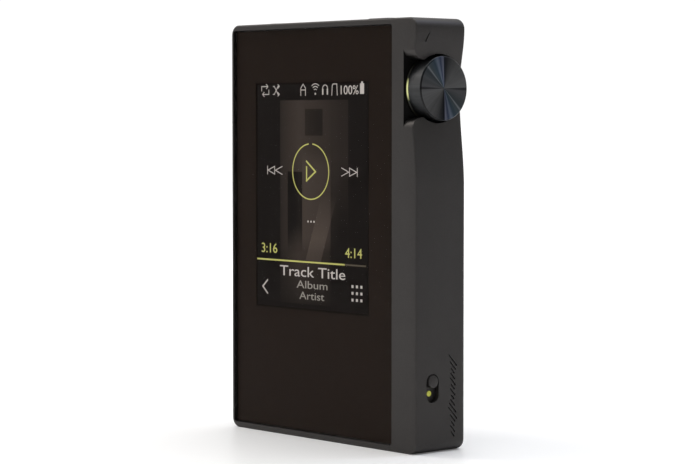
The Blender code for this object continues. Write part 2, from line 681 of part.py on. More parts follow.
def make_volume_control():
    """A turned knob on the encoder's spindle, over a light ring and the nut that holds the bush."""
    axis_point = (0, 0, KNOB_Z)
    chamfer, back_chamfer = 0.0003, 0.0002
    recess_radius, recess_face, bore_end = 0.0046, 0.0296, 0.031
    pivot = joint_origin("knob_axis", (KNOB_BACK, 0, KNOB_Z))
    knob = turned("volume_knob", [
        (0, KNOB_FACE), (KNOB_RADIUS - chamfer, KNOB_FACE), (KNOB_RADIUS, KNOB_FACE - chamfer),
        (KNOB_RADIUS, KNOB_BACK + back_chamfer), (KNOB_RADIUS - back_chamfer, KNOB_BACK),
        (recess_radius, KNOB_BACK), (recess_radius, recess_face),
        (SPINDLE_RADIUS + FINE_GAP, recess_face), (SPINDLE_RADIUS + FINE_GAP, bore_end), (0, bore_end),
    ], axis_point, "X", "spun_metal", steps=KNOB_STEPS)
    spindle_start = 0.0224
    spindle = rod("knob_spindle", (0, KNOB_Z), SPINDLE_RADIUS, spindle_start, bore_end - GAP, "X",
                  "steel")
    hang(pivot, knob, spindle)
    ring_inner, ring_back = 0.0052, POCKET_WALL + FINE_GAP
    ring_face = KNOB_BACK - FINE_GAP * 1.5
    turned("light_ring", [
        (ring_inner, ring_face), (KNOB_RADIUS, ring_face), (KNOB_RADIUS, ring_back),
        (ring_inner, ring_back),
    ], axis_point, "X", "light_guide", steps=KNOB_STEPS, ring=True)
    body_start, body_end, half_y, half_z = 0.0202, 0.0257, 0.0032, 0.004
    body = block("encoder_body", (body_start, -half_y, KNOB_Z - half_z),
                 (body_end, half_y, KNOB_Z + half_z), "steel")
    boolean(body, rod("cut_encoder_bore", (0, KNOB_Z), BUSH_BORE, spindle_start - GAP,
                      body_end + OVERRUN, "X"))
    bush_start, bush_end = body_end + FINE_GAP, 0.0289
    turned("encoder_bush", [
        (BUSH_BORE, bush_end), (BUSH_RADIUS, bush_end), (BUSH_RADIUS, bush_start),
        (BUSH_BORE, bush_start),
    ], axis_point, "X", "brass", ring=True)
    nut_radius, nut_start, nut_sides = 0.0042, POCKET_WALL + FINE_GAP, 6
    nut = rod("encoder_nut", (0, KNOB_Z), nut_radius, nut_start, bush_end, "X", "brass", steps=nut_sides)
    boolean(nut, rod("cut_nut", (0, KNOB_Z), BUSH_RADIUS + FINE_GAP, nut_start - OVERRUN,
                     bush_end + OVERRUN, "X"))


def make_hold_switch():
    """A round cap on a blade that runs behind the side wall. The blade carries a coloured mark, which
    the wall hides when the slider is down."""
    lip = WIDTH / 2 - HOLD_LIP
    blade_face, blade_back = lip - FINE_GAP, 0.0293
    half_y, low_z, high_z = 0.0024, HOLD_Z - 0.0036, HOLD_Z + 0.0064
    place = (blade_face, HOLD_Y, HOLD_CAP_Z)
    pivot = joint_origin("hold_travel", place)
    slider = block("hold_slider", (blade_back, HOLD_Y - half_y, low_z),
                   (blade_face, HOLD_Y + half_y, high_z), "anodised", origin=place)
    cap = rod("join_hold_cap", (HOLD_Y, HOLD_CAP_Z), HOLD_CAP_RADIUS, blade_face - GAP,
              WIDTH / 2 + HOLD_PROUD, "X")
    pin_radius, pin_start = 0.0005, 0.0282
    pin = rod("join_hold_pin", (HOLD_Y, HOLD_CAP_Z), pin_radius, pin_start, blade_back + GAP, "X",
              steps=12)
    mark_radius, mark_margin = 0.00075, 0.00005
    mark_hole = rod("cut_hold_mark", (HOLD_Y, HOLD_MARK_Z), mark_radius + mark_margin,
                    blade_back - OVERRUN, blade_face + OVERRUN, "X")
    boolean(slider, cap, "UNION")
    boolean(slider, pin, "UNION")
    boolean(slider, mark_hole)
    mark = rod("hold_mark", (HOLD_Y, HOLD_MARK_Z), mark_radius, blade_back + FINE_GAP,
               blade_face + mark_margin, "X", "light_guide")
    hang(pivot, slider, cap, pin, mark_hole, mark)
    body_start, body_end, body_half_y = 0.0262, 0.0289, 0.0015
    body_low, body_high = HOLD_Z - 0.004, HOLD_Z + 0.004
    body = block("hold_switch", (body_start, HOLD_Y - body_half_y, body_low),
                 (body_end, HOLD_Y + body_half_y, body_high), "steel")
    track_depth, track_half = 0.001, pin_radius + GAP
    boolean(body, block("cut_hold_track",
                        (body_end - track_depth, HOLD_Y - track_half, HOLD_Z - HOLD_TRAVEL / 2 - track_half),
                        (body_end + OVERRUN, HOLD_Y + track_half, HOLD_CAP_Z + track_half)))


clear_scene()
PARTS = new_collection("digital_audio_player")
CUTTERS = new_collection("cutters", hidden=True)
make_housing()
make_back_cover()
make_front()
make_display_flex()
make_battery()
make_main_board()
make_jacks()
make_keys()
make_power_key()
make_card_sockets()
make_usb_port()
make_volume_control()
make_hold_switch()
bpy.context.view_layer.update()
for part in PARTS.objects:
    if part.type == "MESH":
        smooth(part)
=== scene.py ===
# %% [markdown]
# # A pocket audio player, piece by piece
# The player is a block of dark blasted aluminium with a glass front, a screen behind the glass, a turned
# volume knob let into its right side and a hold slider low on the same side. The working model is already
# there as a fixed frame of plain solids. This lesson gives each solid that can be seen its fine shape and
# gives every piece its finish. All sizes are in metres, X runs across the front, Y from front to back and
# Z is up.

# %% Load the frame
import math

import bmesh
import bpy
from mathutils import Matrix, Vector


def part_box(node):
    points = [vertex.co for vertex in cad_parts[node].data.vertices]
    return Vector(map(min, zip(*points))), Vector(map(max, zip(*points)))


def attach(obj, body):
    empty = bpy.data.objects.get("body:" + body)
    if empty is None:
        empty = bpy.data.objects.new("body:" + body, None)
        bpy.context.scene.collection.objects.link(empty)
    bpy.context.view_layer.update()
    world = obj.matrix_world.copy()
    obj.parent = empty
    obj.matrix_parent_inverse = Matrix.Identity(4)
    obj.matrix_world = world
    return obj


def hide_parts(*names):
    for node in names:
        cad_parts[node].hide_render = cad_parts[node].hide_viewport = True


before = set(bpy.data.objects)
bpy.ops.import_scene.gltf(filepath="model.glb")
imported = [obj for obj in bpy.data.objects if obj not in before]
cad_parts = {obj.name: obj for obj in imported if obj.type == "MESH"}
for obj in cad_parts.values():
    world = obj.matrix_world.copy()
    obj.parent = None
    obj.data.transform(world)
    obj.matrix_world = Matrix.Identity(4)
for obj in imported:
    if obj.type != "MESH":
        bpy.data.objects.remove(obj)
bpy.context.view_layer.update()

# %% [markdown]
# The camera stands to the right of the player and looks past its edge, a little downwards, through a long
# lens, so that the front and the side both show and upright lines stay nearly upright.

# %% Camera
def corners(node):
    """The lowest and the highest corner of a CAD node."""
    low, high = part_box(node)
    return Vector(low), Vector(high)


HOUSING_LOW, HOUSING_HIGH = corners("housing")
MIDDLE = (HOUSING_LOW + HOUSING_HIGH) / 2
VIEW_TURN = math.radians(48.464)
VIEW_TILT = math.radians(2.859)
VIEW_DISTANCE = 0.5105
VIEW_TARGET = MIDDLE + Vector((0.00111, 0, -0.00026))
FOCAL_LENGTH = 116.84

camera_data = bpy.data.cameras.new("camera")
camera_data.lens = FOCAL_LENGTH
camera_data.clip_start = 0.01
camera = bpy.data.objects.new("camera", camera_data)
look = Vector((-math.sin(VIEW_TURN) * math.cos(VIEW_TILT), math.cos(VIEW_TURN) * math.cos(VIEW_TILT),
               -math.sin(VIEW_TILT)))
camera.location = VIEW_TARGET - look * VIEW_DISTANCE
camera.rotation_euler = look.to_track_quat("-Z", "Y").to_euler()
bpy.context.scene.collection.objects.link(camera)
bpy.context.scene.camera = camera
print("camera at", [round(value, 4) for value in camera.location])

# %% [markdown]
# A material is a little network of nodes. These helpers keep each network short to write. The first adds a
# node with its settings and joins what leads into it. The others are the few sums and fades that most
# patterns are made of, and two that say where on the object a point lies.

# %% Helpers for node networks
def add_node(tree, kind, inputs=None, **settings):
    made = tree.nodes.new(kind)
    for name, value in settings.items():
        setattr(made, name, value)
    for name, value in (inputs or {}).items():
        if isinstance(value, bpy.types.NodeSocket):
            tree.links.new(value, made.inputs[name])
        else:
            made.inputs[name].default_value = value
    return made


def maths(tree, operation, first, second=0.0, clamp=False):
    """One arithmetic node on two values or sockets."""
    made = add_node(tree, "ShaderNodeMath", {0: first, 1: second}, operation=operation, use_clamp=clamp)
    return made.outputs[0]


def product(tree, first, *others):
    for other in others:
        first = maths(tree, "MULTIPLY", first, other)
    return first


def fade(tree, value, low, high, start=0.0, end=1.0):
    """Goes evenly from one number to another while a value goes from low to high, and stays there."""
    made = add_node(tree, "ShaderNodeMapRange", {"Value": value, "From Min": low, "From Max": high,
                                                 "To Min": start, "To Max": end})
    return made.outputs[0]


def vector_maths(tree, operation, first, second):
    return add_node(tree, "ShaderNodeVectorMath", {0: first, 1: second}, operation=operation).outputs[0]


def toned(tree, colour, factor):
    """A colour made lighter or darker by a factor."""
    made = add_node(tree, "ShaderNodeVectorMath", {0: colour, "Scale": factor}, operation="SCALE")
    return made.outputs[0]


def object_place(tree):
    return add_node(tree, "ShaderNodeTexCoord").outputs["Object"]


def around_axis(tree, centre):
    """How far a point is from a centre along X, Y and Z, and from the axis along X through it."""
    centred = vector_maths(tree, "SUBTRACT", object_place(tree), centre)
    x, y, z = add_node(tree, "ShaderNodeSeparateXYZ", {0: centred}).outputs
    away = maths(tree, "SQRT", maths(tree, "ADD", product(tree, y, y), product(tree, z, z)))
    return x, y, z, away


def blend_colours(tree, factor, first, second):
    """The first colour where the factor is 0 and the second where it is 1."""
    made = add_node(tree, "ShaderNodeMix", data_type="RGBA")
    for socket, value in ((made.inputs[0], factor), (made.inputs[6], first), (made.inputs[7], second)):
        if isinstance(value, bpy.types.NodeSocket):
            tree.links.new(value, socket)
        else:
            socket.default_value = value
    return made.outputs[2]


def new_material(name, colour, roughness, metallic=0.0, **sockets):
    """A material with plain values on its shader. Patterns are joined to it afterwards."""
    made = bpy.data.materials.new(name)
    made.use_nodes = True
    shader = made.node_tree.nodes["Principled BSDF"]
    shader.inputs["Base Color"].default_value = (*colour, 1.0)
    shader.inputs["Roughness"].default_value = roughness
    shader.inputs["Metallic"].default_value = metallic
    for socket, value in sockets.items():
        shader.inputs[socket.replace("_", " ")].default_value = value
    return made, made.node_tree, shader


# %% [markdown]
# Effects that several finishes share are node groups, built once. *Grain* is the fine unevenness of a
# blasted, moulded or printed surface: noise at two sizes, given out as a tone for the colour and a height
# for the bump. *Edge wear* finds corners by comparing the surface's normal with a rounded copy of it, so
# that worn edges can be lighter. *Smudges* are large soft patches for the roughness of anything handled.

# %% Shared node groups
def new_group(name, inputs, outputs):
    """An empty node group with named number inputs and outputs, and its two end nodes."""
    tree = bpy.data.node_groups.new(name, "ShaderNodeTree")
    for socket, default in inputs.items():
        made = tree.interface.new_socket(socket, in_out="INPUT", socket_type="NodeSocketFloat")
        made.default_value = default
    for socket in outputs:
        tree.interface.new_socket(socket, in_out="OUTPUT", socket_type="NodeSocketFloat")
    return tree, tree.nodes.new("NodeGroupInput"), tree.nodes.new("NodeGroupOutput")


def make_grain():
    tree, given, result = new_group("Grain", {"Scale": 3000.0, "Spread": 0.2}, ("Tone", "Height"))
    place = object_place(tree)
    fine = add_node(tree, "ShaderNodeTexNoise",
                    {"Vector": place, "Scale": given.outputs["Scale"], "Detail": 3.0, "Roughness": 0.6})
    coarse_scale = maths(tree, "MULTIPLY", given.outputs["Scale"], 0.12)
    coarse = add_node(tree, "ShaderNodeTexNoise", {"Vector": place, "Scale": coarse_scale, "Detail": 2.0})
    mixed = maths(tree, "ADD", product(tree, fine.outputs[0], 0.7), product(tree, coarse.outputs[0], 0.3))
    centred = maths(tree, "SUBTRACT", mixed, 0.5)
    tone = maths(tree, "ADD", product(tree, centred, given.outputs["Spread"]), 1.0)
    tree.links.new(tone, result.inputs["Tone"])
    tree.links.new(mixed, result.inputs["Height"])
    return tree


def make_edge_wear():
    tree, given, result = new_group("Edge wear", {"Width": 0.0003, "Break up": 900.0}, ("Mask",))
    flat = add_node(tree, "ShaderNodeNewGeometry").outputs["Normal"]
    rounded = add_node(tree, "ShaderNodeBevel", {"Radius": given.outputs["Width"]}, samples=4)
    agree = add_node(tree, "ShaderNodeVectorMath", {0: flat, 1: rounded.outputs[0]},
                     operation="DOT_PRODUCT").outputs["Value"]
    edge = maths(tree, "MULTIPLY", maths(tree, "SUBTRACT", 1.0, agree), 4.0, clamp=True)
    place = object_place(tree)
    chips = add_node(tree, "ShaderNodeTexNoise", {"Vector": place, "Scale": given.outputs["Break up"]})
    broken = maths(tree, "MULTIPLY", edge, chips.outputs[0], clamp=True)
    tree.links.new(broken, result.inputs["Mask"])
    return tree


def make_smudges():
    tree, given, result = new_group("Smudges", {"Base": 0.3, "Spread": 0.1, "Scale": 90.0},
                                    ("Roughness",))
    place = object_place(tree)
    patches = add_node(tree, "ShaderNodeTexNoise",
                       {"Vector": place, "Scale": given.outputs["Scale"], "Detail": 4.0,
                        "Distortion": 0.6})
    centred = maths(tree, "SUBTRACT", patches.outputs[0], 0.5)
    uneven = maths(tree, "MULTIPLY", centred, given.outputs["Spread"])
    tree.links.new(maths(tree, "ADD", uneven, given.outputs["Base"], clamp=True),
                   result.inputs["Roughness"])
    return tree


GRAIN, EDGE_WEAR, SMUDGES = make_grain(), make_edge_wear(), make_smudges()


def use_group(tree, group, **values):
    placed = add_node(tree, "ShaderNodeGroup", node_tree=group)
    for name, value in values.items():
        placed.inputs[name.replace("_", " ")].default_value = value
    return placed.outputs


print("shared groups:", [group.name for group in bpy.data.node_groups])

# %% [markdown]
# Most finishes are built the same way: a colour that the grain makes lighter and darker, a lighter colour
# on the edges, a roughness that the smudges vary, and a bump from the grain. One function does that, and
# each finish gives its own numbers.

# %% A function for most finishes
def grained(name, colour, roughness, metallic, scale, spread, bump, worn=None, edge=0.0002, patches=0.08,
            **sockets):
    material, tree, shader = new_material(name, colour, roughness, metallic, **sockets)
    grain = use_group(tree, GRAIN, Scale=scale, Spread=spread)
    tone = toned(tree, colour, grain["Tone"])
    if worn:
        wear = use_group(tree, EDGE_WEAR, Width=edge)
        tone = blend_colours(tree, wear["Mask"], tone, (*worn, 1.0))
    tree.links.new(tone, shader.inputs["Base Color"])
    smudged = use_group(tree, SMUDGES, Base=roughness, Spread=patches)
    tree.links.new(smudged["Roughness"], shader.inputs["Roughness"])
    if bump:
        raised = add_node(tree, "ShaderNodeBump", {"Height": grain["Height"], "Distance": bump})
        tree.links.new(raised.outputs[0], shader.inputs["Normal"])
    return material, tree, shader


HOUSING_METAL = grained("blasted_anodised_aluminium", (0.05, 0.0465, 0.0445), 0.5, 0.75, 2600.0, 0.35,
                        0.000012, worn=(0.085, 0.083, 0.085), edge=0.00025)[0]
COVER_METAL = grained("cover_anodised_aluminium", (0.05, 0.048, 0.047), 0.42, 0.75, 3200.0, 0.25, 0.000008,
                      worn=(0.13, 0.13, 0.135))[0]
STEEL = grained("plated_steel", (0.5, 0.5, 0.5), 0.3, 1.0, 1500.0, 0.12, 0.000004)[0]
DARK_STEEL = grained("blackened_steel", (0.06, 0.06, 0.065), 0.35, 0.9, 2500.0, 0.2, 0.000006,
                     worn=(0.25, 0.25, 0.26), edge=0.0001)[0]
BRASS = grained("turned_brass", (0.6, 0.42, 0.15), 0.32, 1.0, 1800.0, 0.15, 0.000004)[0]
GOLD = grained("gold_flash", (0.83, 0.6, 0.22), 0.25, 1.0, 2500.0, 0.1, 0.000002)[0]
BLACK_PLASTIC = grained("moulded_black_plastic", (0.014, 0.014, 0.015), 0.45, 0.0, 2200.0, 0.4, 0.00001)[0]
CHIP = grained("chip_epoxy", (0.02, 0.02, 0.022), 0.55, 0.0, 6000.0, 0.4, 0.000006)[0]
CELL_WRAP = grained("battery_film", (0.07, 0.08, 0.1), 0.35, 0.3, 500.0, 0.3, 0.00004)[0]
RUBBER = grained("foam_gasket", (0.02, 0.02, 0.02), 0.85, 0.0, 4000.0, 0.6, 0.00003)[0]
FLEX = grained("polyimide_ribbon", (0.35, 0.16, 0.03), 0.4, 0.0, 900.0, 0.25, 0.000004)[0]
print("finishes:", len(bpy.data.materials))

# %% [markdown]
# A circuit board is green solder mask over copper. The copper tracks show through as slightly lighter
# bands, which a brick pattern with thin joints gives.

# %% Circuit board finish
BOARD, board_tree, board_shader = grained("circuit_board", (0.01, 0.07, 0.03), 0.35, 0.0, 1500.0, 0.3,
                                          0.000004)
board_turned = add_node(board_tree, "ShaderNodeMapping", {"Vector": object_place(board_tree),
                                                          "Rotation": (math.pi / 2, 0, 0)})
tracks = add_node(board_tree, "ShaderNodeTexBrick",
                  {"Vector": board_turned.outputs[0], "Scale": 260.0, "Mortar Size": 0.05,
                   "Color1": (0.008, 0.06, 0.026, 1), "Color2": (0.012, 0.085, 0.035, 1),
                   "Mortar": (0.03, 0.16, 0.06, 1)})
board_tree.links.new(tracks.outputs["Color"], board_shader.inputs["Base Color"])
row_height = tracks.inputs["Row Height"].default_value / tracks.inputs["Scale"].default_value
print("board tracks lie", round(row_height * 1000, 2), "mm apart")

# %% [markdown]
# Every new piece is a bmesh, shaped with bmesh operators where it stands. These helpers hold the parts of
# that which repeat: moving and turning a shape, starting from a box, a rod or a lathe profile, rounding the
# edges that run along one axis, rounding the rim of one face, and putting the finished mesh into the scene
# on its CAD body.

# %% Helpers for meshes
AXES = "XYZ"
TINY = 1e-7


def move_shape(shape, run):
    bmesh.ops.translate(shape, vec=run, verts=shape.verts)


def scale_shape(shape, factors):
    bmesh.ops.scale(shape, vec=factors, verts=shape.verts)


def turn_shape(shape, angle, axis, centre=(0, 0, 0)):
    bmesh.ops.rotate(shape, cent=centre, matrix=Matrix.Rotation(angle, 3, axis), verts=shape.verts)


def box_mesh(low, high):
    low, high = Vector(low), Vector(high)
    shape = bmesh.new()
    bmesh.ops.create_cube(shape, size=1.0)
    scale_shape(shape, high - low)
    move_shape(shape, (low + high) / 2)
    return shape


def bevel_edges(shape, edges, radius, segments):
    bmesh.ops.bevel(shape, geom=list(edges), offset=radius, segments=segments, profile=0.5,
                    affect="EDGES", offset_type="OFFSET", material=-1, clamp_overlap=True)


def round_along(shape, axis, radius, segments):
    """Rounds the edges that run along one axis."""
    others = [i for i in range(3) if AXES[i] != axis]
    found = [edge for edge in shape.edges
             if all(abs(edge.verts[0].co[i] - edge.verts[1].co[i]) < TINY for i in others)]
    bevel_edges(shape, found, radius, segments)
    bmesh.ops.remove_doubles(shape, verts=shape.verts, dist=1e-6)
    return shape


def block_mesh(low, high, axis, radius, segments):
    """A box whose edges along one axis are rounded."""
    return round_along(box_mesh(low, high), axis, radius, segments)


def round_rim(shape, axis, level, radius, segments):
    """Rounds the outline of the flat face that lies across an axis at a level."""
    index = AXES.index(axis)
    found = [edge for edge in shape.edges
             if all(abs(vert.co[index] - level) < 1e-6 for vert in edge.verts)
             and len(edge.link_faces) == 2 and edge.calc_face_angle() > math.radians(50)]
    bevel_edges(shape, found, radius, segments)
    return shape


def pill_mesh(low, high, axis, segments=10):
    """A bar along an axis whose section has half-round ends."""
    low, high = Vector(low), Vector(high)
    across = [high[i] - low[i] for i in range(3) if AXES[i] != axis]
    shape = block_mesh(low, high, axis, min(across) / 2, segments)
    bmesh.ops.remove_doubles(shape, verts=shape.verts, dist=3e-6)
    return shape


def rod_mesh(centre, radius, low, high, axis, segments=48):
    """A round bar. The centre's own value on the axis isn't used."""
    shape = bmesh.new()
    bmesh.ops.create_cone(shape, cap_ends=True, segments=segments, radius1=radius, radius2=radius,
                          depth=high - low)
    if axis == "X":
        turn_shape(shape, math.pi / 2, "Y")
    elif axis == "Y":
        turn_shape(shape, -math.pi / 2, "X")
    place = Vector(centre)
    place[AXES.index(axis)] = (low + high) / 2
    move_shape(shape, place)
    return shape


def prism(points, low, high):
    """A solid between two levels of X, over an outline of (y, z) points."""
    shape = bmesh.new()
    face = shape.faces.new([shape.verts.new((low, y, z)) for y, z in points])
    raised = bmesh.ops.extrude_face_region(shape, geom=[face])["geom"]
    bmesh.ops.translate(shape, vec=(high - low, 0, 0),
                        verts=[item for item in raised if isinstance(item, bmesh.types.BMVert)])
    bmesh.ops.recalc_face_normals(shape, faces=shape.faces)
    return shape


def lathe_mesh(profile, centre, axis, segments=96, closed=False):
    """Spins (radius, level) points about an axis through a centre. The levels are places on that axis."""
    shape = bmesh.new()
    index = AXES.index(axis)
    side = (index + 1) % 3
    spun = []
    for radius, level in profile:
        place = Vector(centre)
        place[index] = level
        place[side] += radius
        spun.append(shape.verts.new(place))
    edges = [shape.edges.new(pair) for pair in zip(spun, spun[1:])]
    if closed:
        edges.append(shape.edges.new((spun[-1], spun[0])))
    direction = Vector((0, 0, 0))
    direction[index] = 1
    bmesh.ops.spin(shape, geom=spun + edges, cent=centre, axis=direction, angle=math.tau,
                   steps=segments, use_merge=True)
    bmesh.ops.remove_doubles(shape, verts=shape.verts, dist=2e-6)
    bmesh.ops.recalc_face_normals(shape, faces=shape.faces)
    return shape


def new_object(name, shape, material=None, smooth_angle=32):
    """Turns a bmesh into an object at the origin, smooth but for its sharp edges."""
    mesh = bpy.data.meshes.new(name)
    bmesh.ops.recalc_face_normals(shape, faces=shape.faces)
    shape.to_mesh(mesh)
    shape.free()
    made = bpy.data.objects.new(name, mesh)
    bpy.context.scene.collection.objects.link(made)
    if material:
        mesh.materials.append(material)
    mesh.shade_smooth()
    mesh.set_sharp_from_angle(angle=math.radians(smooth_angle))
    return made


def carve(piece, cutters, operation="DIFFERENCE", smooth_angle=32):
    """Cuts each cutter from a piece, or joins it on, then removes the cutters."""
    for cutter in cutters:
        step = piece.modifiers.new(cutter.name, "BOOLEAN")
        step.object = cutter
        step.operation = operation
        step.solver = "EXACT"
    bpy.context.view_layer.update()
    graph = bpy.context.evaluated_depsgraph_get()
    mesh = bpy.data.meshes.new_from_object(piece.evaluated_get(graph))
    piece.modifiers.clear()
    piece.data = mesh
    for cutter in cutters:
        bpy.data.objects.remove(cutter, do_unlink=True)
    mesh.shade_smooth()
    mesh.set_sharp_from_angle(angle=math.radians(smooth_angle))
    return piece


def fit(piece, body, slot, *nodes):
    """Puts a piece on its body and hides the solids it stands for. The finish slot argument is not used."""
    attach(piece, body)
    if nodes:
        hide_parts(*nodes)
    print(f"{piece.name}: {len(piece.data.polygons)} faces on {body}")
    return piece


# %% [markdown]
# The housing starts as a box as large as its CAD solid. Its upright corners are rounded, then its right
# side is cut into level bands and each band is drawn in, by a smooth curve that is deepest at the knob, so
# that fingers find the knob. Last, the front edge gets a small round and the back edge a larger one. This
# order matters: a bevel is cleanest while the shape still has few edges.

# %% Housing blank
CORNER = 0.0023
FRONT_ROUND, BACK_ROUND = 0.0004, 0.0011
KNOB_LOW, KNOB_HIGH = corners("volume_knob")
KNOB_AXIS = (KNOB_LOW + KNOB_HIGH) / 2
SCOOP_DEPTH = 0.00155
SCOOP_LOW, SCOOP_HIGH = 0.057, HOUSING_HIGH.z - CORNER
SCOOP_BANDS = 28


def scoop(height):
    """How far the right side is drawn in at a height."""
    if height < KNOB_AXIS.z:
        rise = (height - SCOOP_LOW) / (KNOB_AXIS.z - SCOOP_LOW)
    else:
        rise = (SCOOP_HIGH - height) / (SCOOP_HIGH - KNOB_AXIS.z)
    rise = min(max(rise, 0.0), 1.0)
    return SCOOP_DEPTH * rise * rise * (3 - 2 * rise)


def draw_in_side(shape):
    for band in range(1, SCOOP_BANDS):
        level = SCOOP_LOW + (SCOOP_HIGH - SCOOP_LOW) * band / SCOOP_BANDS
        side = [face for face in shape.faces if face.normal.x > 0.99]
        edges = {edge for face in side for edge in face.edges}
        verts = {vert for face in side for vert in face.verts}
        bmesh.ops.bisect_plane(shape, geom=[*side, *edges, *verts], dist=TINY,
                               plane_co=(0, 0, level), plane_no=(0, 0, 1))
    for vert in shape.verts:
        if vert.co.x > HOUSING_HIGH.x - TINY:
            vert.co.x -= scoop(vert.co.z)


blank = block_mesh(HOUSING_LOW, HOUSING_HIGH, "Y", CORNER, 12)
blank.normal_update()
draw_in_side(blank)
blank.normal_update()
round_rim(blank, "Y", HOUSING_LOW.y, FRONT_ROUND, 4)
round_rim(blank, "Y", HOUSING_HIGH.y, BACK_ROUND, 7)
housing = new_object("housing_shell", blank, HOUSING_METAL)
print("blank:", len(housing.data.polygons), "faces")

# %% [markdown]
# The openings are cut with cutters, as a mill would: a recess and a window for the glass and the screen, a
# cavity and a shallow ledge for the cover, and a round pocket for the knob. The pocket's mouth flares
# towards the front. Its lip is a rounded corner of the *cutter*: rounding that is far easier than
# rounding the curved edge that the cut leaves.

# %% Cutters for the front, the back and the knob
GLASS_LOW, GLASS_HIGH = corners("front_glass")
PANEL_LOW, PANEL_HIGH = corners("display_panel")
COVER_LOW, COVER_HIGH = corners("back_cover")
REVEAL = 0.00012
OVERRUN = 0.002
SHELF_Y, WALL_BACK_Y = -0.00615, -0.0052
LEDGE_Y = COVER_LOW.y - 0.0001
CAVITY_LOW = Vector((-0.0284, WALL_BACK_Y, 0.0031))
CAVITY_HIGH = Vector((0.0217, LEDGE_Y + OVERRUN, 0.0909))
BOSS = 0.0041
POCKET_WALL, POCKET_RADIUS = 0.0275, 0.0075
LIP_RADIUS = 0.0017


def cutter(name, shape):
    return new_object("cut_" + name, shape)


def cavity_cutter():
    """The cavity, with a quarter-round boss for a screw left standing in each corner."""
    hollow = cutter("cavity", box_mesh(CAVITY_LOW, CAVITY_HIGH))
    places = [(x, z) for x in (CAVITY_LOW.x, CAVITY_HIGH.x) for z in (CAVITY_LOW.z, CAVITY_HIGH.z)]
    bosses = [cutter(f"boss_{number}", rod_mesh((x, 0, z), BOSS, CAVITY_LOW.y - OVERRUN,
                                                CAVITY_HIGH.y + OVERRUN, "Y", 48))
              for number, (x, z) in enumerate(places)]
    return carve(hollow, bosses)


def pocket_cutters():
    outside = HOUSING_HIGH.x + OVERRUN
    front = HOUSING_LOW.y
    pocket = rod_mesh(KNOB_AXIS, POCKET_RADIUS, POCKET_WALL, outside, "X", 96)
    flare_start, start_half = front + 0.0032, 0.0061
    mouth_half, skirt_half, skirt_depth = 0.0069, 0.012, 0.003
    outline = [(flare_start, start_half), (front, mouth_half), (front, skirt_half),
               (front - skirt_depth, skirt_half)]
    outline += [(y, -z) for y, z in reversed(outline)]
    flare = prism([(y, KNOB_AXIS.z + z) for y, z in outline], POCKET_WALL, outside)
    lips = [edge for edge in flare.edges
            if all(abs(vert.co.y - front) < 1e-5 and abs(abs(vert.co.z - KNOB_AXIS.z) - mouth_half) < 1e-5
                   for vert in edge.verts)]
    bevel_edges(flare, lips, LIP_RADIUS, 8)
    window_half, window_start = 0.0046, 0.0052
    window = box_mesh((POCKET_WALL, window_start, KNOB_AXIS.z - window_half),
                      (outside, HOUSING_HIGH.y + OVERRUN, KNOB_AXIS.z + window_half))
    chamber_depth, chamber_half, chamber_end = 0.0049, 0.0048, 0.026
    chamber = box_mesh((CAVITY_HIGH.x - OVERRUN, -chamber_depth, KNOB_AXIS.z - chamber_half),
                       (chamber_end, chamber_depth, KNOB_AXIS.z + chamber_half))
    bush_radius, bush_start = 0.0031, 0.024
    bush = rod_mesh(KNOB_AXIS, bush_radius, bush_start, POCKET_WALL + OVERRUN, "X")
    return [cutter("flare", flare), cutter("window", window), cutter("pocket", pocket),
            cutter("chamber", chamber), cutter("bush", bush)]


recess = block_mesh((GLASS_LOW.x - REVEAL, HOUSING_LOW.y - OVERRUN, GLASS_LOW.z - REVEAL),
                    (GLASS_HIGH.x + REVEAL, SHELF_Y, GLASS_HIGH.z + REVEAL), "Y", 0.0006, 5)
screen_gap = Vector((0.0003, 0, 0.0003))
window_low, window_high = PANEL_LOW - screen_gap, PANEL_HIGH + screen_gap
window_low.y, window_high.y = SHELF_Y - 0.0005, WALL_BACK_Y + OVERRUN
ledge = block_mesh((COVER_LOW.x - REVEAL, LEDGE_Y, COVER_LOW.z - REVEAL),
                   (COVER_HIGH.x + REVEAL, HOUSING_HIGH.y + OVERRUN, COVER_HIGH.z + REVEAL), "Y", 0.0012, 6)
cuts = [cutter("recess", recess), cutter("screen", box_mesh(window_low, window_high)), cavity_cutter(),
        cutter("ledge", ledge), *pocket_cutters()]
print("cutters so far:", len(cuts))

# %% [markdown]
# Smaller openings follow the pieces that fill them, so each takes its size from its piece's box: keys,
# sockets, card slots, the data port and the hold slider's slot.

# %% Cutters for keys, sockets and the hold slider
HOLD_LOW, HOLD_HIGH = corners("hold_slider")
HOLD_Y = (HOLD_LOW.y + HOLD_HIGH.y) / 2
HOLD_SLOT = (0.0037, 0.0063)
HOLD_Z = (HOLD_LOW.z + HOLD_HIGH.z) / 2 - 0.0014
HOLD_LIP = 0.00106
KEY_GAP = 0.0001
KEY_FLANGE = 0.0007
KEY_MARGIN = 2 * (KEY_GAP - KEY_FLANGE)
KEYS = ("previous", "play", "next")
CARD_SLOT = (0.0013, 0.0122)
RING_BASE = 0.093


def around(centre, width, height, low, high, axis):
    """A pill cutter across an axis. Width and height go with the two other axes in order."""
    index = AXES.index(axis)
    half = [width / 2, height / 2]
    half.insert(index, 0)
    start, end = Vector(centre) - Vector(half), Vector(centre) + Vector(half)
    start[index], end[index] = low, high
    return pill_mesh(start, end, axis)


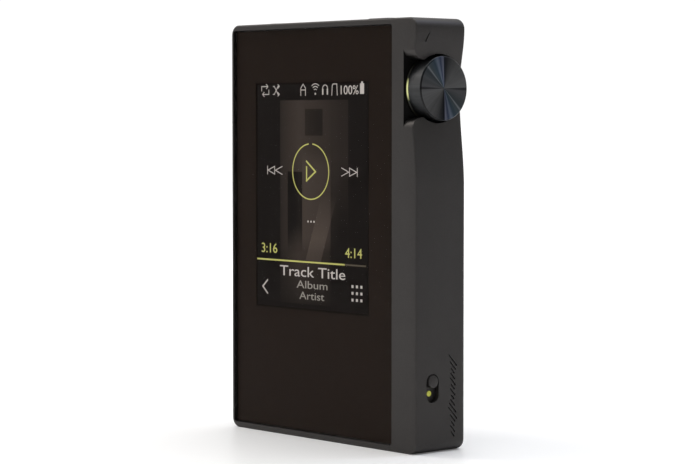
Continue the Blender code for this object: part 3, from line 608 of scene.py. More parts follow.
for name in KEYS:
    low, high = corners(f"{name}_button")
    size = high - low
    cuts.append(cutter(name, around((low + high) / 2, size.y + KEY_MARGIN, size.z + KEY_MARGIN,
                                    HOUSING_LOW.x - OVERRUN, CAVITY_LOW.x + OVERRUN, "X")))
POWER_LOW, POWER_HIGH = corners("power_button")
power_size = POWER_HIGH - POWER_LOW
cuts.append(cutter("power", around((POWER_LOW + POWER_HIGH) / 2, power_size.x + KEY_MARGIN,
                                   power_size.y + KEY_MARGIN, CAVITY_HIGH.z - OVERRUN,
                                   HOUSING_HIGH.z + OVERRUN, "Z")))
for name in ("lower", "upper"):
    low, high = corners(f"card_socket_{name}")
    cuts.append(cutter(f"card_{name}", around(((0, -0.0024, (low.z + high.z) / 2)), *CARD_SLOT,
                                              HOUSING_LOW.x - OVERRUN, CAVITY_LOW.x + OVERRUN, "X")))
USB_LOW, USB_HIGH = corners("usb_shell")
usb_size = USB_HIGH - USB_LOW
cuts.append(cutter("usb", around((USB_LOW + USB_HIGH) / 2, usb_size.x + 0.0003, usb_size.y + 0.0003,
                                 HOUSING_LOW.z - OVERRUN, CAVITY_LOW.z + OVERRUN, "Z")))
for name in ("headphone", "balanced"):
    low, high = corners(f"{name}_ring")
    jack_low, jack_high = corners(f"{name}_jack")
    centre = (low + high) / 2
    nose = (jack_high.x - jack_low.x) / 2
    cuts.append(cutter(f"{name}_nose", rod_mesh(centre, nose, CAVITY_HIGH.z - OVERRUN,
                                                HOUSING_HIGH.z + OVERRUN, "Z")))
    cuts.append(cutter(f"{name}_ring", rod_mesh(centre, (high.x - low.x) / 2 + KEY_GAP, RING_BASE,
                                                HOUSING_HIGH.z + OVERRUN, "Z", 64)))
side = HOUSING_HIGH.x
cuts.append(cutter("hold_slot", around((0, HOLD_Y, HOLD_Z), *HOLD_SLOT, side - HOLD_LIP - 0.0001,
                                       side + OVERRUN, "X")))
room_half, room_below, room_above = 0.0027, 0.007, 0.0068
room = box_mesh((CAVITY_HIGH.x - OVERRUN, HOLD_Y - room_half, HOLD_Z - room_below),
                (side - HOLD_LIP, HOLD_Y + room_half, HOLD_Z + room_above))
cuts.append(cutter("hold_chamber", room))
for number in range(1, 5):
    low, high = corners(f"back_screw_{number}")
    cuts.append(cutter(f"tapping_{number}", rod_mesh((low + high) / 2, 0.00075, low.y - 0.0003,
                                                     high.y + OVERRUN, "Y", 24)))
    low, high = corners(f"board_screw_{number}")
    cuts.append(cutter(f"pilot_{number}", rod_mesh((low + high) / 2, 0.00065, low.y - 0.0002,
                                                   high.y + OVERRUN, "Y", 24)))
print("cutters:", len(cuts))

# %% [markdown]
# The right side carries two engraved marks, which are plain signs and not words: a row of short slanted
# bars like a level meter, low down beside the hold slider, and a small wedge above the knob that says
# volume. Each bar is a thin pill, turned a little, that cuts a third of a millimetre deep.

# %% Engraved marks
ENGRAVING = 0.0003
LEVELS = (1.6, 2.2, 1.7, 2.4, 3.9, 3.2, 2.0, 1.4, 2.3, 1.8, 2.6, 2.0, 1.7, 2.7, 3.6)
METER_Y, METER_LOW, METER_PITCH = 0.0035, 0.0037, 0.00115
SLANT = math.radians(-46)


def engraved_bar(name, y, z, length, width, turn):
    face = side - scoop(z)
    shape = around((0, y, z), length, width, face - ENGRAVING, face + OVERRUN, "X")
    turn_shape(shape, turn, "X", (0, y, z))
    return cutter(name, shape)


for number, level in enumerate(LEVELS):
    cuts.append(engraved_bar(f"level_{number}", METER_Y, METER_LOW + number * METER_PITCH,
                             level / 1000, 0.0004, SLANT))
WEDGE = ((-0.0032, 0.0912), (-0.00505, 0.0888), (-0.0044, 0.0887))
wedge_face = side - scoop(0.09)
cuts.append(cutter("wedge", prism(WEDGE, wedge_face - ENGRAVING, wedge_face + OVERRUN)))
carve(housing, cuts)
fit(housing, "root", "body_metal", "housing")

# %% [markdown]
# The metal in the knob's pocket lies in shade, and that shade is painted into its colour. One mask takes
# what lies close to the knob's axis, another takes the flat wall behind the knob, and both get painted
# shade.

# %% Painted shade in the knob's pocket
SOFT, THIN_SKIN = 0.0006, 0.0001


def paint_pocket_shade(material, low, high, radius, share):
    """Paints shade into a round region about the knob's axis between two levels of X."""
    tree = material.node_tree
    shader = tree.nodes["Principled BSDF"]
    plain = shader.inputs["Base Color"].links[0].from_socket
    x, y, z, away = around_axis(tree, KNOB_AXIS)
    start, end = low - KNOB_AXIS.x, high - KNOB_AXIS.x
    near = fade(tree, away, radius, radius + SOFT, 1.0, 0.0)
    wall = fade(tree, x, start + THIN_SKIN / 2, start + THIN_SKIN, 1.0, 0.0)
    tall = maths(tree, "LESS_THAN", maths(tree, "ABSOLUTE", z), radius)
    reach = maths(tree, "MAXIMUM", near, product(tree, wall, tall))
    inner = fade(tree, x, start - THIN_SKIN / 5, start)
    outer = fade(tree, x, end, end + THIN_SKIN * 2, 1.0, 0.0)
    behind = fade(tree, y, HOUSING_LOW.y + THIN_SKIN * 0.3, HOUSING_LOW.y + THIN_SKIN)
    mask = product(tree, reach, inner, outer, behind)
    # Painted shade: the masked part of the pocket is darkened by the share.
    tree.links.new(blend_colours(tree, mask, plain, toned(tree, plain, share)),
                   shader.inputs["Base Color"])


# How far out, how deep and how strongly the pocket's painted shade reaches.
POCKET_SHADE_REACH, POCKET_SHADE_MOUTH, POCKET_SHADE_SHARE = 0.0094, 0.0296, 0.2
paint_pocket_shade(HOUSING_METAL, POCKET_WALL, POCKET_SHADE_MOUTH, POCKET_SHADE_REACH, POCKET_SHADE_SHARE)
print("pocket darkened out to", POCKET_SHADE_REACH)

# %% [markdown]
# The knob is a lathe job. Its profile is drawn once, from the dimple in the middle of the face out to a
# chamfer, down the side, and back under to the hollow for the nut. The face is spun, so its tool marks are
# circles: an anisotropic shader with a radial tangent gives the fans of light. Noise that depends only on
# the angle about the axis paints streaks of highlight into the colour. A colour ramp over half a turn
# paints two opposite fans of blue and grey highlight, with painted shade between them, and the chamfer
# gets painted shade.

# %% Volume knob
KNOB_RADIUS = (KNOB_HIGH.z - KNOB_LOW.z) / 2
FACE_X, BASE_X = KNOB_HIGH.x, KNOB_LOW.x
CHAMFER = 0.00028
# Painted light on the knob: the strength of the painted streaks, the gain of the face's painted highlight
# and the chamfer's painted shade.
STREAK_PAINTED_SHEEN, FACE_PAINTED_SHEEN_GAIN, CHAMFER_PAINTED_SHADE = 0.7, 1.25, 0.25
# Stops of painted highlight fans and painted shade lines over half a turn.
PAINTED_FAN_STOPS = ((0.0, (0.012, 0.012, 0.013)), (0.02, (0.085, 0.085, 0.085)), (0.36, (0.075, 0.075, 0.076)),
             (0.45, (0.03, 0.031, 0.034)), (0.5, (0.008, 0.01, 0.015)), (0.52, (0.14, 0.15, 0.2)),
             (0.56, (0.03, 0.04, 0.07)), (0.6, (0.1, 0.12, 0.16)), (0.65, (0.03, 0.045, 0.06)),
             (0.74, (0.045, 0.055, 0.06)), (0.755, (0.13, 0.14, 0.15)), (0.775, (0.03, 0.036, 0.04)),
             (0.97, (0.06, 0.06, 0.062)), (1.0, (0.012, 0.012, 0.013)))


def spun_metal(name, centre, colour, roughness, side_roughness):
    material, tree, shader = new_material(name, colour, roughness, 1.0, Anisotropic=0.85)
    tangent = add_node(tree, "ShaderNodeTangent", direction_type="RADIAL", axis="X")
    tree.links.new(tangent.outputs[0], shader.inputs["Tangent"])
    x, y, z, rings = around_axis(tree, centre)
    angle = maths(tree, "ARCTAN2", z, y)
    sectors = add_node(tree, "ShaderNodeTexNoise", {"W": angle, "Scale": 5.0, "Detail": 6.0,
                                                    "Roughness": 0.65}, noise_dimensions="1D")
    turned = add_node(tree, "ShaderNodeTexNoise", {"W": rings, "Scale": 9000.0, "Detail": 3.0},
                      noise_dimensions="1D")
    # Painted streaks of highlight, set by the angle about the axis.
    tone = maths(tree, "ADD", product(tree, maths(tree, "SUBTRACT", sectors.outputs[0], 0.5), STREAK_PAINTED_SHEEN), 1.0)
    half_turns = maths(tree, "FRACT", maths(tree, "ADD", maths(tree, "DIVIDE", angle, math.pi), 1.0))
    # Painted highlight: two opposite fans over each half turn.
    painted_sheen = add_node(tree, "ShaderNodeValToRGB", {"Fac": half_turns})
    stops = painted_sheen.color_ramp.elements
    for number, (place_on_ramp, stop_colour) in enumerate(PAINTED_FAN_STOPS):
        stop = stops[number] if number < 2 else stops.new(place_on_ramp)
        stop.position, stop.color = place_on_ramp, (*stop_colour, 1.0)
    face_level, rim_start = FACE_X - centre.x, KNOB_RADIUS - CHAMFER
    on_face = fade(tree, x, face_level - 0.0004, face_level - 0.0001)
    # Painted shade on the chamfer, painted highlight lifted on the face.
    rim = fade(tree, rings, rim_start - 0.00004, rim_start + 0.00002, FACE_PAINTED_SHEEN_GAIN, CHAMFER_PAINTED_SHADE)
    mixed = blend_colours(tree, on_face, (*colour, 1.0), toned(tree, painted_sheen.outputs["Color"], rim))
    tree.links.new(toned(tree, mixed, tone), shader.inputs["Base Color"])
    tree.links.new(fade(tree, on_face, 0.0, 1.0, side_roughness, roughness), shader.inputs["Roughness"])
    bump = add_node(tree, "ShaderNodeBump", {"Height": turned.outputs[0], "Distance": 0.000002})
    tree.links.new(bump.outputs[0], shader.inputs["Normal"])
    return material


KNOB_METAL = spun_metal("spun_aluminium", KNOB_AXIS, (0.05, 0.052, 0.054), 0.32, 0.5)
knob_profile = [(0.0, FACE_X - 0.00008), (0.0006, FACE_X - 0.00006), (0.0012, FACE_X),
                (KNOB_RADIUS - CHAMFER, FACE_X), (KNOB_RADIUS - CHAMFER / 3, FACE_X - CHAMFER * 0.5),
                (KNOB_RADIUS, FACE_X - CHAMFER), (KNOB_RADIUS, BASE_X + 0.0002),
                (KNOB_RADIUS - 0.0002, BASE_X), (0.0046, BASE_X), (0.0046, 0.0296), (0.0016, 0.0296),
                (0.0016, 0.031), (0.0, 0.031)]
knob = new_object("knob", lathe_mesh(knob_profile, KNOB_AXIS, "X", 160), KNOB_METAL)
fit(knob, "knob", "spun_metal", "volume_knob")

# %% [markdown]
# Under the knob sits a ring of dark plastic. Its yellow-green glow is painted light: it shines on the front
# side near the knob's height and fades away from there.

# %% Light ring
RING_LOW, RING_HIGH = corners("light_ring")
RING_PAINTED_GLOW = (0.8, 0.82, 0.36)
RING_PAINTED_LIGHT, ring_tree, ring_shader = new_material("painted_light_ring", (0.012, 0.0125, 0.007), 0.35,
                                                  Emission_Strength=0.85)
ring_x, ring_y, ring_z, _ = around_axis(ring_tree, (KNOB_AXIS.x, 0, KNOB_AXIS.z))
ring_height = maths(ring_tree, "ABSOLUTE", maths(ring_tree, "ADD", ring_z, 0.0002))
ring_top = RING_HIGH.x - KNOB_AXIS.x
# Painted light: where the ring glows, on the front side near the knob's height.
ring_painted_light = product(ring_tree, fade(ring_tree, ring_height, 0.001, 0.0025, 1.0, 0.0),
                   fade(ring_tree, ring_x, ring_top - 0.0002, ring_top - 0.0001),
                   fade(ring_tree, ring_y, -0.004, -0.001, 1.0, 0.0))
ring_tree.links.new(blend_colours(ring_tree, ring_painted_light, (0, 0, 0, 1), (*RING_PAINTED_GLOW, 1.0)),
                    ring_shader.inputs["Emission Color"])
ring = new_object("glowing_ring", lathe_mesh([(0.0052, RING_HIGH.x), (KNOB_RADIUS - 0.0001, RING_HIGH.x),
                                              (KNOB_RADIUS, RING_HIGH.x - 0.0001),
                                              (KNOB_RADIUS, RING_LOW.x), (0.0052, RING_LOW.x)],
                                             KNOB_AXIS, "X", 128, closed=True), RING_PAINTED_LIGHT)
fit(ring, "root", "light_guide", "light_ring")

# %% [markdown]
# The hold slider is a small round cap on a dark blade. The blade fills the slot's floor and carries a
# yellow-green painted dot, which the wall covers when the slider is down. The dot also glows faintly, which
# is painted light.

# %% Hold slider
BLADE_FACE = side - HOLD_LIP - 0.0001
CAP_RADIUS = 0.00142
CAP_Z = HOLD_Z + 0.0015
MARK_LOW, MARK_HIGH = corners("hold_mark")
cap_profile = [(0, HOLD_HIGH.x), (CAP_RADIUS - 0.00035, HOLD_HIGH.x),
               (CAP_RADIUS - 0.0001, HOLD_HIGH.x - 0.0001), (CAP_RADIUS, HOLD_HIGH.x - 0.00035),
               (CAP_RADIUS, BLADE_FACE - 0.0003), (0, BLADE_FACE - 0.0003)]
cap = new_object("join_cap", lathe_mesh(cap_profile, (0, HOLD_Y, CAP_Z), "X", 64))
blade = new_object("hold_blade", round_rim(block_mesh(
    (0.0293, HOLD_LOW.y, HOLD_LOW.z), (BLADE_FACE, HOLD_HIGH.y, HOLD_HIGH.z), "X", 0.0006, 4),
    "X", BLADE_FACE, 0.0001, 2), HOUSING_METAL)
pin = new_object("join_pin", rod_mesh((0, HOLD_Y, CAP_Z), 0.0005, HOLD_LOW.x, 0.0296, "X", 24))
carve(blade, [cap, pin], "UNION")
mark_centre = (MARK_LOW + MARK_HIGH) / 2
carve(blade, [cutter("mark", rod_mesh(mark_centre, 0.0007, 0.029, BLADE_FACE + 0.0002, "X", 32))])
fit(blade, "hold", "body_metal", "hold_slider")
DOT_PAINT_AND_GLOW = (0.62, 0.64, 0.09)
# The dot's colour is its paint; its weak emission of the same colour is painted light.
DOT, dot_tree, dot_shader = new_material("dot_paint_and_painted_glow", DOT_PAINT_AND_GLOW, 0.4, Emission_Strength=0.12)
dot_grain = use_group(dot_tree, GRAIN, Scale=4000.0, Spread=0.15)
dot_paint_and_glow_tone = toned(dot_tree, DOT_PAINT_AND_GLOW, dot_grain["Tone"])
for socket in ("Base Color", "Emission Color"):
    dot_tree.links.new(dot_paint_and_glow_tone, dot_shader.inputs[socket])
dot = new_object("hold_dot", round_rim(rod_mesh(mark_centre, 0.00064, MARK_LOW.x, MARK_HIGH.x, "X", 48),
                                       "X", MARK_HIGH.x, 0.00008, 3), DOT)
fit(dot, "hold", "light_guide", "hold_mark")

# %% [markdown]
# The front is one sheet of toughened glass. Its back is printed dark brown all round, so that the screen
# seems to have no frame. Both are modelled as they are made: a clear slab with a fine ground edge, and
# behind it a thin film with a hole. A coating takes away most of the glass's reflection. The low
# refractive index stands for that coating, because reflection grows with the index. The glass throws no
# shadow, so lamps reach the print behind it directly and it stays free of speckle.

# %% Front glass and its print
EDGE_GROUND = 0.00016
PRINT_Y = GLASS_HIGH.y + 0.00001
PRINT_THICKNESS = 0.00002
CLEAR_GLASS, glass_tree, glass_shader = new_material("coated_glass", (0.97, 0.96, 0.95), 0.01,
                                                     Transmission_Weight=1.0, IOR=1.01)
glass_haze = use_group(glass_tree, SMUDGES, Base=0.01, Spread=0.03, Scale=60.0)
glass_tree.links.new(glass_haze["Roughness"], glass_shader.inputs["Roughness"])
# The print's faint emission is painted light, added to what the lamps give it.
PRINT_AND_PAINTED_GLOW = grained("brown_print_painted_glow", (0.0105, 0.0072, 0.0056), 0.25, 0.0, 3000.0, 0.12, 0.0,
                Specular_IOR_Level=0.03, Emission_Color=(0.0056, 0.004, 0.0032, 1.0),
                Emission_Strength=1.0)[0]
glass = round_rim(block_mesh(GLASS_LOW, GLASS_HIGH, "Y", 0.0005, 5), "Y", GLASS_LOW.y, EDGE_GROUND, 3)
glass_sheet = new_object("glass_sheet", glass, CLEAR_GLASS)
glass_sheet.visible_shadow = False
fit(glass_sheet, "root", "front_glass", "front_glass")

ACTIVE_LOW = PANEL_LOW + Vector((0.00138, 0, 0.0048))
ACTIVE_HIGH = ACTIVE_LOW + Vector((0.0382, 0, 0.0508))
window_margin = Vector((0.0004, 0, 0.0004))
hole_low, hole_high = ACTIVE_LOW - window_margin, ACTIVE_HIGH + window_margin
hole_low.y, hole_high.y = PRINT_Y - OVERRUN, PRINT_Y + OVERRUN
film = new_object("glass_print", block_mesh(
    (GLASS_LOW.x + EDGE_GROUND, PRINT_Y, GLASS_LOW.z + EDGE_GROUND),
    (GLASS_HIGH.x - EDGE_GROUND, PRINT_Y + PRINT_THICKNESS, GLASS_HIGH.z - EDGE_GROUND), "Y", 0.0004, 4),
    PRINT_AND_PAINTED_GLOW)
carve(film, [cutter("print_hole", box_mesh(hole_low, hole_high))])
fit(film, "root", "black_plastic")

# %% [markdown]
# The screen shows a playing page: a dim picture, white signs, and yellow-green times and bars. The picture
# is a shader on the panel's lit face. It is plain geometry, built from masks: each mask is 1 inside a
# shape and 0 outside, and the masks are added up and turned into light. Places on the screen are
# given in millimetres from the lower left corner of its lit area.

# %% Screen panel and its picture
PANEL_BLACK = grained("panel_black", (0.009, 0.0068, 0.0056), 0.25, 0.0, 3000.0, 0.1, 0.0,
                      Specular_IOR_Level=0.03)[0]
panel = block_mesh(PANEL_LOW, PANEL_HIGH, "Y", 0.0004, 3)
fit(new_object("screen_panel", panel, PANEL_BLACK), "root", "display", "display_panel")

PICTURE, art_tree, art_shader = new_material("lit_picture", (0.006, 0.005, 0.005), 0.5,
                                             Emission_Strength=1.0, Specular_IOR_Level=0.03)
DRAWN_WIDTH = 0.982
art_centred = vector_maths(art_tree, "SUBTRACT", object_place(art_tree), ACTIVE_LOW)
art_scaled = vector_maths(art_tree, "MULTIPLY", art_centred, (1000 / DRAWN_WIDTH, 1000, 1000))
art_split = add_node(art_tree, "ShaderNodeSeparateXYZ", {0: art_scaled})
ART_U, ART_V = art_split.outputs["X"], art_split.outputs["Z"]


def ramp(value, *limits):
    return fade(art_tree, value, *limits)


def both(*masks):
    return product(art_tree, *masks)


def band(value, low, high, soft=0.06):
    """1 between two values and 0 outside them, with soft edges."""
    return both(ramp(value, low - soft, low + soft), ramp(value, high - soft, high + soft, 1.0, 0.0))


def plus(first, second, weight):
    return maths(art_tree, "ADD", first, both(second, weight))


def leaning(slope):
    """A sideways measure whose level lines lean."""
    return maths(art_tree, "SUBTRACT", ART_U, both(ART_V, slope))


def stripes(value, pitch, low, high):
    return ramp(maths(art_tree, "SINE", both(value, pitch)), low, high)


sleeve = both(band(ART_U, 8.3, 32.2), band(ART_V, 1.0, 47.2, 0.1))
across = both(sleeve, ramp(ART_U, 8.0, 15.0), ramp(ART_U, 15.0, 30.0, 1.0, 0.0))
column = both(band(ART_U, 16.2, 26.2), band(ART_V, 14.5, 34.0, 1.6))
leaning_bar = both(band(leaning(0.38), 13.2, 18.6), band(ART_V, 10.9, 27.0), ramp(ART_V, 26, 16))
dark_bar = both(band(ART_U, 11.0, 16.2), band(ART_V, 12.0, 31.0), ramp(ART_V, 12.0, 19.0))
square = both(band(ART_U, 17.2, 23.4), band(ART_V, 39.2, 45.2))
right_shade = both(band(ART_U, 26.0, 32.2, 0.3), ramp(ART_V, 16, 34, 1.0, 0.2), sleeve)
hatched = both(sleeve, band(ART_U, 6.0, 19.0), ramp(ART_V, 22, 16), stripes(leaning(-0.75), 9.5, -0.2, 0.4))
ruled = both(sleeve, band(ART_U, 27.0, 32.2), stripes(ART_V, 15.0, 0.2, 0.7))
light = both(sleeve, ramp(ART_V, 6.0, 34.0, 0.45, 1.0), 0.36)
for mask, weight in ((across, 0.62), (column, 0.38), (leaning_bar, 0.85), (dark_bar, -0.8), (square, -0.5),
                     (right_shade, -0.3), (hatched, 0.16), (ruled, 0.08)):
    light = plus(light, mask, weight)
light = maths(art_tree, "MAXIMUM", both(light, ramp(ART_V, 1.0, 14.0, 0.25, 1.0)), 0.0)
PICTURE_DARK, PICTURE_LIGHT, PICTURE_TINT = 0.0035, 0.036, (1.0, 0.77, 0.63)
art_tree.links.new(toned(art_tree, PICTURE_TINT, plus(PICTURE_DARK, light, PICTURE_LIGHT)),
                   art_shader.inputs["Emission Color"])
LIT_Y = PANEL_LOW.y - 0.00003
lit_low, lit_high = Vector(ACTIVE_LOW), Vector(ACTIVE_HIGH)
lit_low.y, lit_high.y = LIT_Y, LIT_Y + PRINT_THICKNESS
fit(new_object("screen_picture", box_mesh(lit_low, lit_high), PICTURE), "root", "display")

# %% [markdown]
# Signs and words lie on the picture as very thin raised shapes, so that they stay sharp close up. All the
# shapes of one colour are gathered in one mesh, a *layer*. Strokes are thin bars along a list of
# points, arcs are spun, and words are text turned into a mesh before it is placed.

# %% Helpers for drawing on the screen
SIGN_Y = LIT_Y - 0.00003
SIGN_THICKNESS = 0.00002


def on_screen(u, v):
    return Vector((ACTIVE_LOW.x + u * DRAWN_WIDTH / 1000, SIGN_Y, ACTIVE_LOW.z + v / 1000))


def gather(layer, shape):
    """Adds a bmesh to a layer and lets it go."""
    mesh = bpy.data.meshes.new("gathered")
    shape.to_mesh(mesh)
    shape.free()
    layer.from_mesh(mesh)
    bpy.data.meshes.remove(mesh)


def stroke(layer, points, width):
    for start, end in zip(points, points[1:]):
        run = Vector((end[0] - start[0], 0, end[1] - start[1]))
        bar = bmesh.new()
        bmesh.ops.create_cube(bar, size=1.0)
        scale_shape(bar, ((run.length + width) / 1000, SIGN_THICKNESS, width / 1000))
        turn_shape(bar, -math.atan2(run.z, run.x), "Y")
        middle = on_screen((start[0] + end[0]) / 2, (start[1] + end[1]) / 2)
        move_shape(bar, middle)
        gather(layer, bar)


def arc(layer, u, v, radius, start, end, width, steps=48):
    """A part of a ring. Angles are in degrees from the right, against the clock."""
    shape = bmesh.new()
    centre = on_screen(u, v)
    half = SIGN_THICKNESS / 2
    for distance, depth in ((radius - width / 2, -half), (radius + width / 2, -half),
                            (radius + width / 2, half), (radius - width / 2, half)):
        shape.verts.new(centre + Vector((distance / 1000, depth, 0)))
    shape.faces.new(shape.verts)
    turn_shape(shape, math.radians(-start), "Y", centre)
    bmesh.ops.spin(shape, geom=[*shape.verts, *shape.edges, *shape.faces], cent=centre, axis=(0, -1, 0),
                   angle=math.radians(end - start), steps=steps)
    gather(layer, shape)


def dot_at(layer, u, v, size):
    stroke(layer, [(u - size * 0.01, v), (u + size * 0.01, v)], size)


def words(layer, text, left, right, bottom, height):
    """Text whose capitals stand on a line and fill a width."""
    curve = bpy.data.curves.new("words", "FONT")
    curve.body = text
    curve.extrude = 0.5
    curve.resolution_u = 4
    holder = bpy.data.objects.new("words", curve)
    bpy.context.scene.collection.objects.link(holder)
    bpy.context.view_layer.update()
    mesh = bpy.data.meshes.new_from_object(holder.evaluated_get(bpy.context.evaluated_depsgraph_get()))
    bpy.data.objects.remove(holder, do_unlink=True)
    shape = bmesh.new()
    shape.from_mesh(mesh)
    bpy.data.meshes.remove(mesh)
    low = min(vert.co.x for vert in shape.verts)
    wide = max(vert.co.x for vert in shape.verts) - low
    capital = 0.7
    move_shape(shape, (-low, 0, 0))
    scale_shape(shape, ((right - left) / 1000 / wide, height / 1000 / capital, SIGN_THICKNESS))
    turn_shape(shape, math.pi / 2, "X")
    move_shape(shape, on_screen(left, bottom))
    bmesh.ops.remove_doubles(shape, verts=shape.verts, dist=1e-7)
    gather(layer, shape)


def lit(name, colour, strength):
    """Light that the grain makes very slightly uneven, as a panel's dots do."""
    material, tree, shader = new_material(name, (0.02, 0.02, 0.02), 0.5, Emission_Strength=strength,
                                          Specular_IOR_Level=0.03)
    grain = use_group(tree, GRAIN, Scale=9000.0, Spread=0.25)
    tree.links.new(toned(tree, colour, grain["Tone"]), shader.inputs["Emission Color"])
    return material


# %% [markdown]
# The top row holds general signs for repeat, shuffle, a home, the radio signal, headphones, a memory card
# and the battery. Below them come the skip signs, a play sign in a ring, the two times with the bar
# between played and left, and three lines of words.

# %% Signs and words on the screen
whites, greens, greys, faints = bmesh.new(), bmesh.new(), bmesh.new(), bmesh.new()
THIN, LINE = 0.18, 0.36

STATUS_V, STATUS_SIZE = 49.5, 0.82


def status(u, *points):
    """A stroke of a small sign in the top row, with its points given from the sign's middle."""
    stroke(whites, [(u + x * STATUS_SIZE, STATUS_V + z * STATUS_SIZE) for x, z in points], THIN)


status(2.9, (-1.6, -0.1), (-1.6, 1.1), (1.0, 1.1))
status(2.9, (0.5, 1.7), (1.2, 1.1), (0.5, 0.5))
status(2.9, (1.6, 0.1), (1.6, -1.1), (-1.0, -1.1))
status(2.9, (-0.5, -0.5), (-1.2, -1.1), (-0.5, -1.7))
for start, end in ((1.1, -1.1), (-1.1, 1.1)):
    status(6.9, (-1.3, start), (-0.8, start), (0.8, end), (1.4, end))
    status(6.9, (0.8, end + 0.5), (1.4, end), (0.8, end - 0.5))
status(16.6, (-1.0, -1.5), (-1.0, 0.5), (0, 1.6), (1.0, 0.5), (1.0, -1.5))
status(16.6, (-1.0, 0.0), (1.0, 0.0))
for radius in (0.65, 1.25, 1.85):
    arc(whites, 20.9, 49.0, radius, 48, 132, THIN, 16)
dot_at(whites, 20.9, 48.6, 0.42)
HEADPHONE_U = 24.3
arc(whites, HEADPHONE_U, 49.7, 0.85, 0, 180, THIN, 16)
for way in (-1, 1):
    stroke(whites, [(HEADPHONE_U + way * 0.8, 49.5), (HEADPHONE_U + way * 0.8, 48.6)], 0.42)
status(27.6, (-1.2, -1.5), (-1.0, 1.1), (-0.6, 1.5), (0.9, 1.5), (1.1, -1.5))
words(whites, "100%", 29.7, 35.6, 48.4, 2.0)
BATTERY_U = 36.9
stroke(whites, [(BATTERY_U, 49.1), (BATTERY_U, 50.1)], 1.3)
stroke(whites, [(BATTERY_U, 50.7), (BATTERY_U, 50.9)], 0.55)

SKIP_V = 31.2
for centre, way in ((6.8, -1), (32.2, 1)):
    for tip in (0.0, 2.7):
        nose, tail = centre + way * (tip + 0.2), centre + way * (tip - 2.2)
        stroke(whites, [(tail, SKIP_V + 0.9), (nose, SKIP_V), (tail, SKIP_V - 0.9)], THIN)
        if tip:
            stroke(whites, [(tail, SKIP_V + 0.9), (tail, SKIP_V - 0.9)], THIN)
    stroke(whites, [(centre + way * 3.1, SKIP_V + 0.9), (centre + way * 3.1, SKIP_V - 0.9)], THIN)
for number in range(3):
    dot_at(whites, 18.3 + number * 1.05, 19.8, 0.42)
for column_number in range(3):
    for row_number in range(3):
        dot_at(whites, 33.7 + column_number * 1.5, 5.9 - row_number * 1.5, 0.62)
stroke(whites, [(3.6, 5.8), (1.9, 4.3), (3.6, 2.8)], 0.32)
words(whites, "Track Title", 8.2, 30.8, 7.2, 2.35)

RING_U, RING_V, RING_RADIUS = 19.2, 31.1, 6.25
arc(greens, RING_U, RING_V, RING_RADIUS, 96, 444, 0.27, 120)
stroke(greens, [(17.8, 32.1), (17.8, 29.0), (20.9, 31.1), (17.8, 33.4)], LINE)
words(greens, "3:16", 1.5, 7.1, 12.2, 2.2)
words(greens, "4:14", 31.2, 36.8, 12.2, 2.2)
BAR_V, PLAYED = 10.6, 30.6
stroke(greens, [(0.3, BAR_V), (PLAYED, BAR_V)], LINE)
stroke(faints, [(PLAYED + LINE, BAR_V), (38.0, BAR_V)], LINE)
words(greys, "Album", 14.2, 24.9, 4.6, 1.75)
words(greys, "Artist", 15.2, 23.8, 2.1, 1.75)
for name, layer, material in (("screen_signs", whites, lit("white_light", (0.5, 0.46, 0.43), 1.0)),
                              ("screen_accents", greens, lit("green_light", (0.48, 0.47, 0.13), 1.0)),
                              ("screen_lines", greys, lit("grey_light", (0.27, 0.25, 0.22), 1.0)),
                              ("screen_bar_left", faints, lit("faint_light", (0.07, 0.055, 0.035), 1.0))):
    fit(new_object(name, layer, material), "root", "display")

# %% [markdown]
# The left side has three keys, long ones with half-round ends, and the top has a wider one. Each is a
# moulded or turned cap on a flange that keeps it in its hole. The tops carry simple cut signs.

# %% Keys
KEY_CAP_INNER = -0.0286
SIGN_DEPTH = 0.0001


def arrowhead(name, z, way, face):
    half, length = 0.0006, 0.0008
    points = [(-half, z - way * length / 2), (half, z - way * length / 2), (0, z + way * length / 2)]
    return cutter(name, prism(points, face - OVERRUN, face + SIGN_DEPTH))


def cross_bar(name, z, face, width=0.00018):
    return cutter(name, box_mesh((face - OVERRUN, -0.0006, z - width), (face + SIGN_DEPTH, 0.0006,
                                                                         z + width)))


for name, way in (("previous", 1), ("play", 1), ("next", -1)):
    low, high = corners(f"{name}_button")
    middle = (low + high) / 2
    margin = Vector((0, KEY_FLANGE, KEY_FLANGE))
    cap = pill_mesh(low + margin, Vector((KEY_CAP_INNER + 0.0003, high.y, high.z)) - margin, "X", 10)
    round_rim(cap, "X", low.x, 0.0003, 4)
    key = new_object(f"{name}_key_cap", cap, DARK_STEEL)
    flange = cutter("flange", pill_mesh((KEY_CAP_INNER, low.y, low.z), high, "X", 6))
    carve(key, [flange], "UNION")
    face = low.x
    signs = [arrowhead("sign_1", middle.z + way * 0.0003, way, face)]
    if name == "play":
        signs.append(cross_bar("sign_2", middle.z - 0.0006, face))
        signs.append(cross_bar("sign_3", middle.z - 0.0012, face))
    else:
        signs.append(arrowhead("sign_2", middle.z - way * 0.0006, way, face))
        signs.append(cross_bar("sign_3", middle.z + way * 0.001, face))
    carve(key, signs)
    fit(key, f"{name}_key", "black_plastic", f"{name}_button")

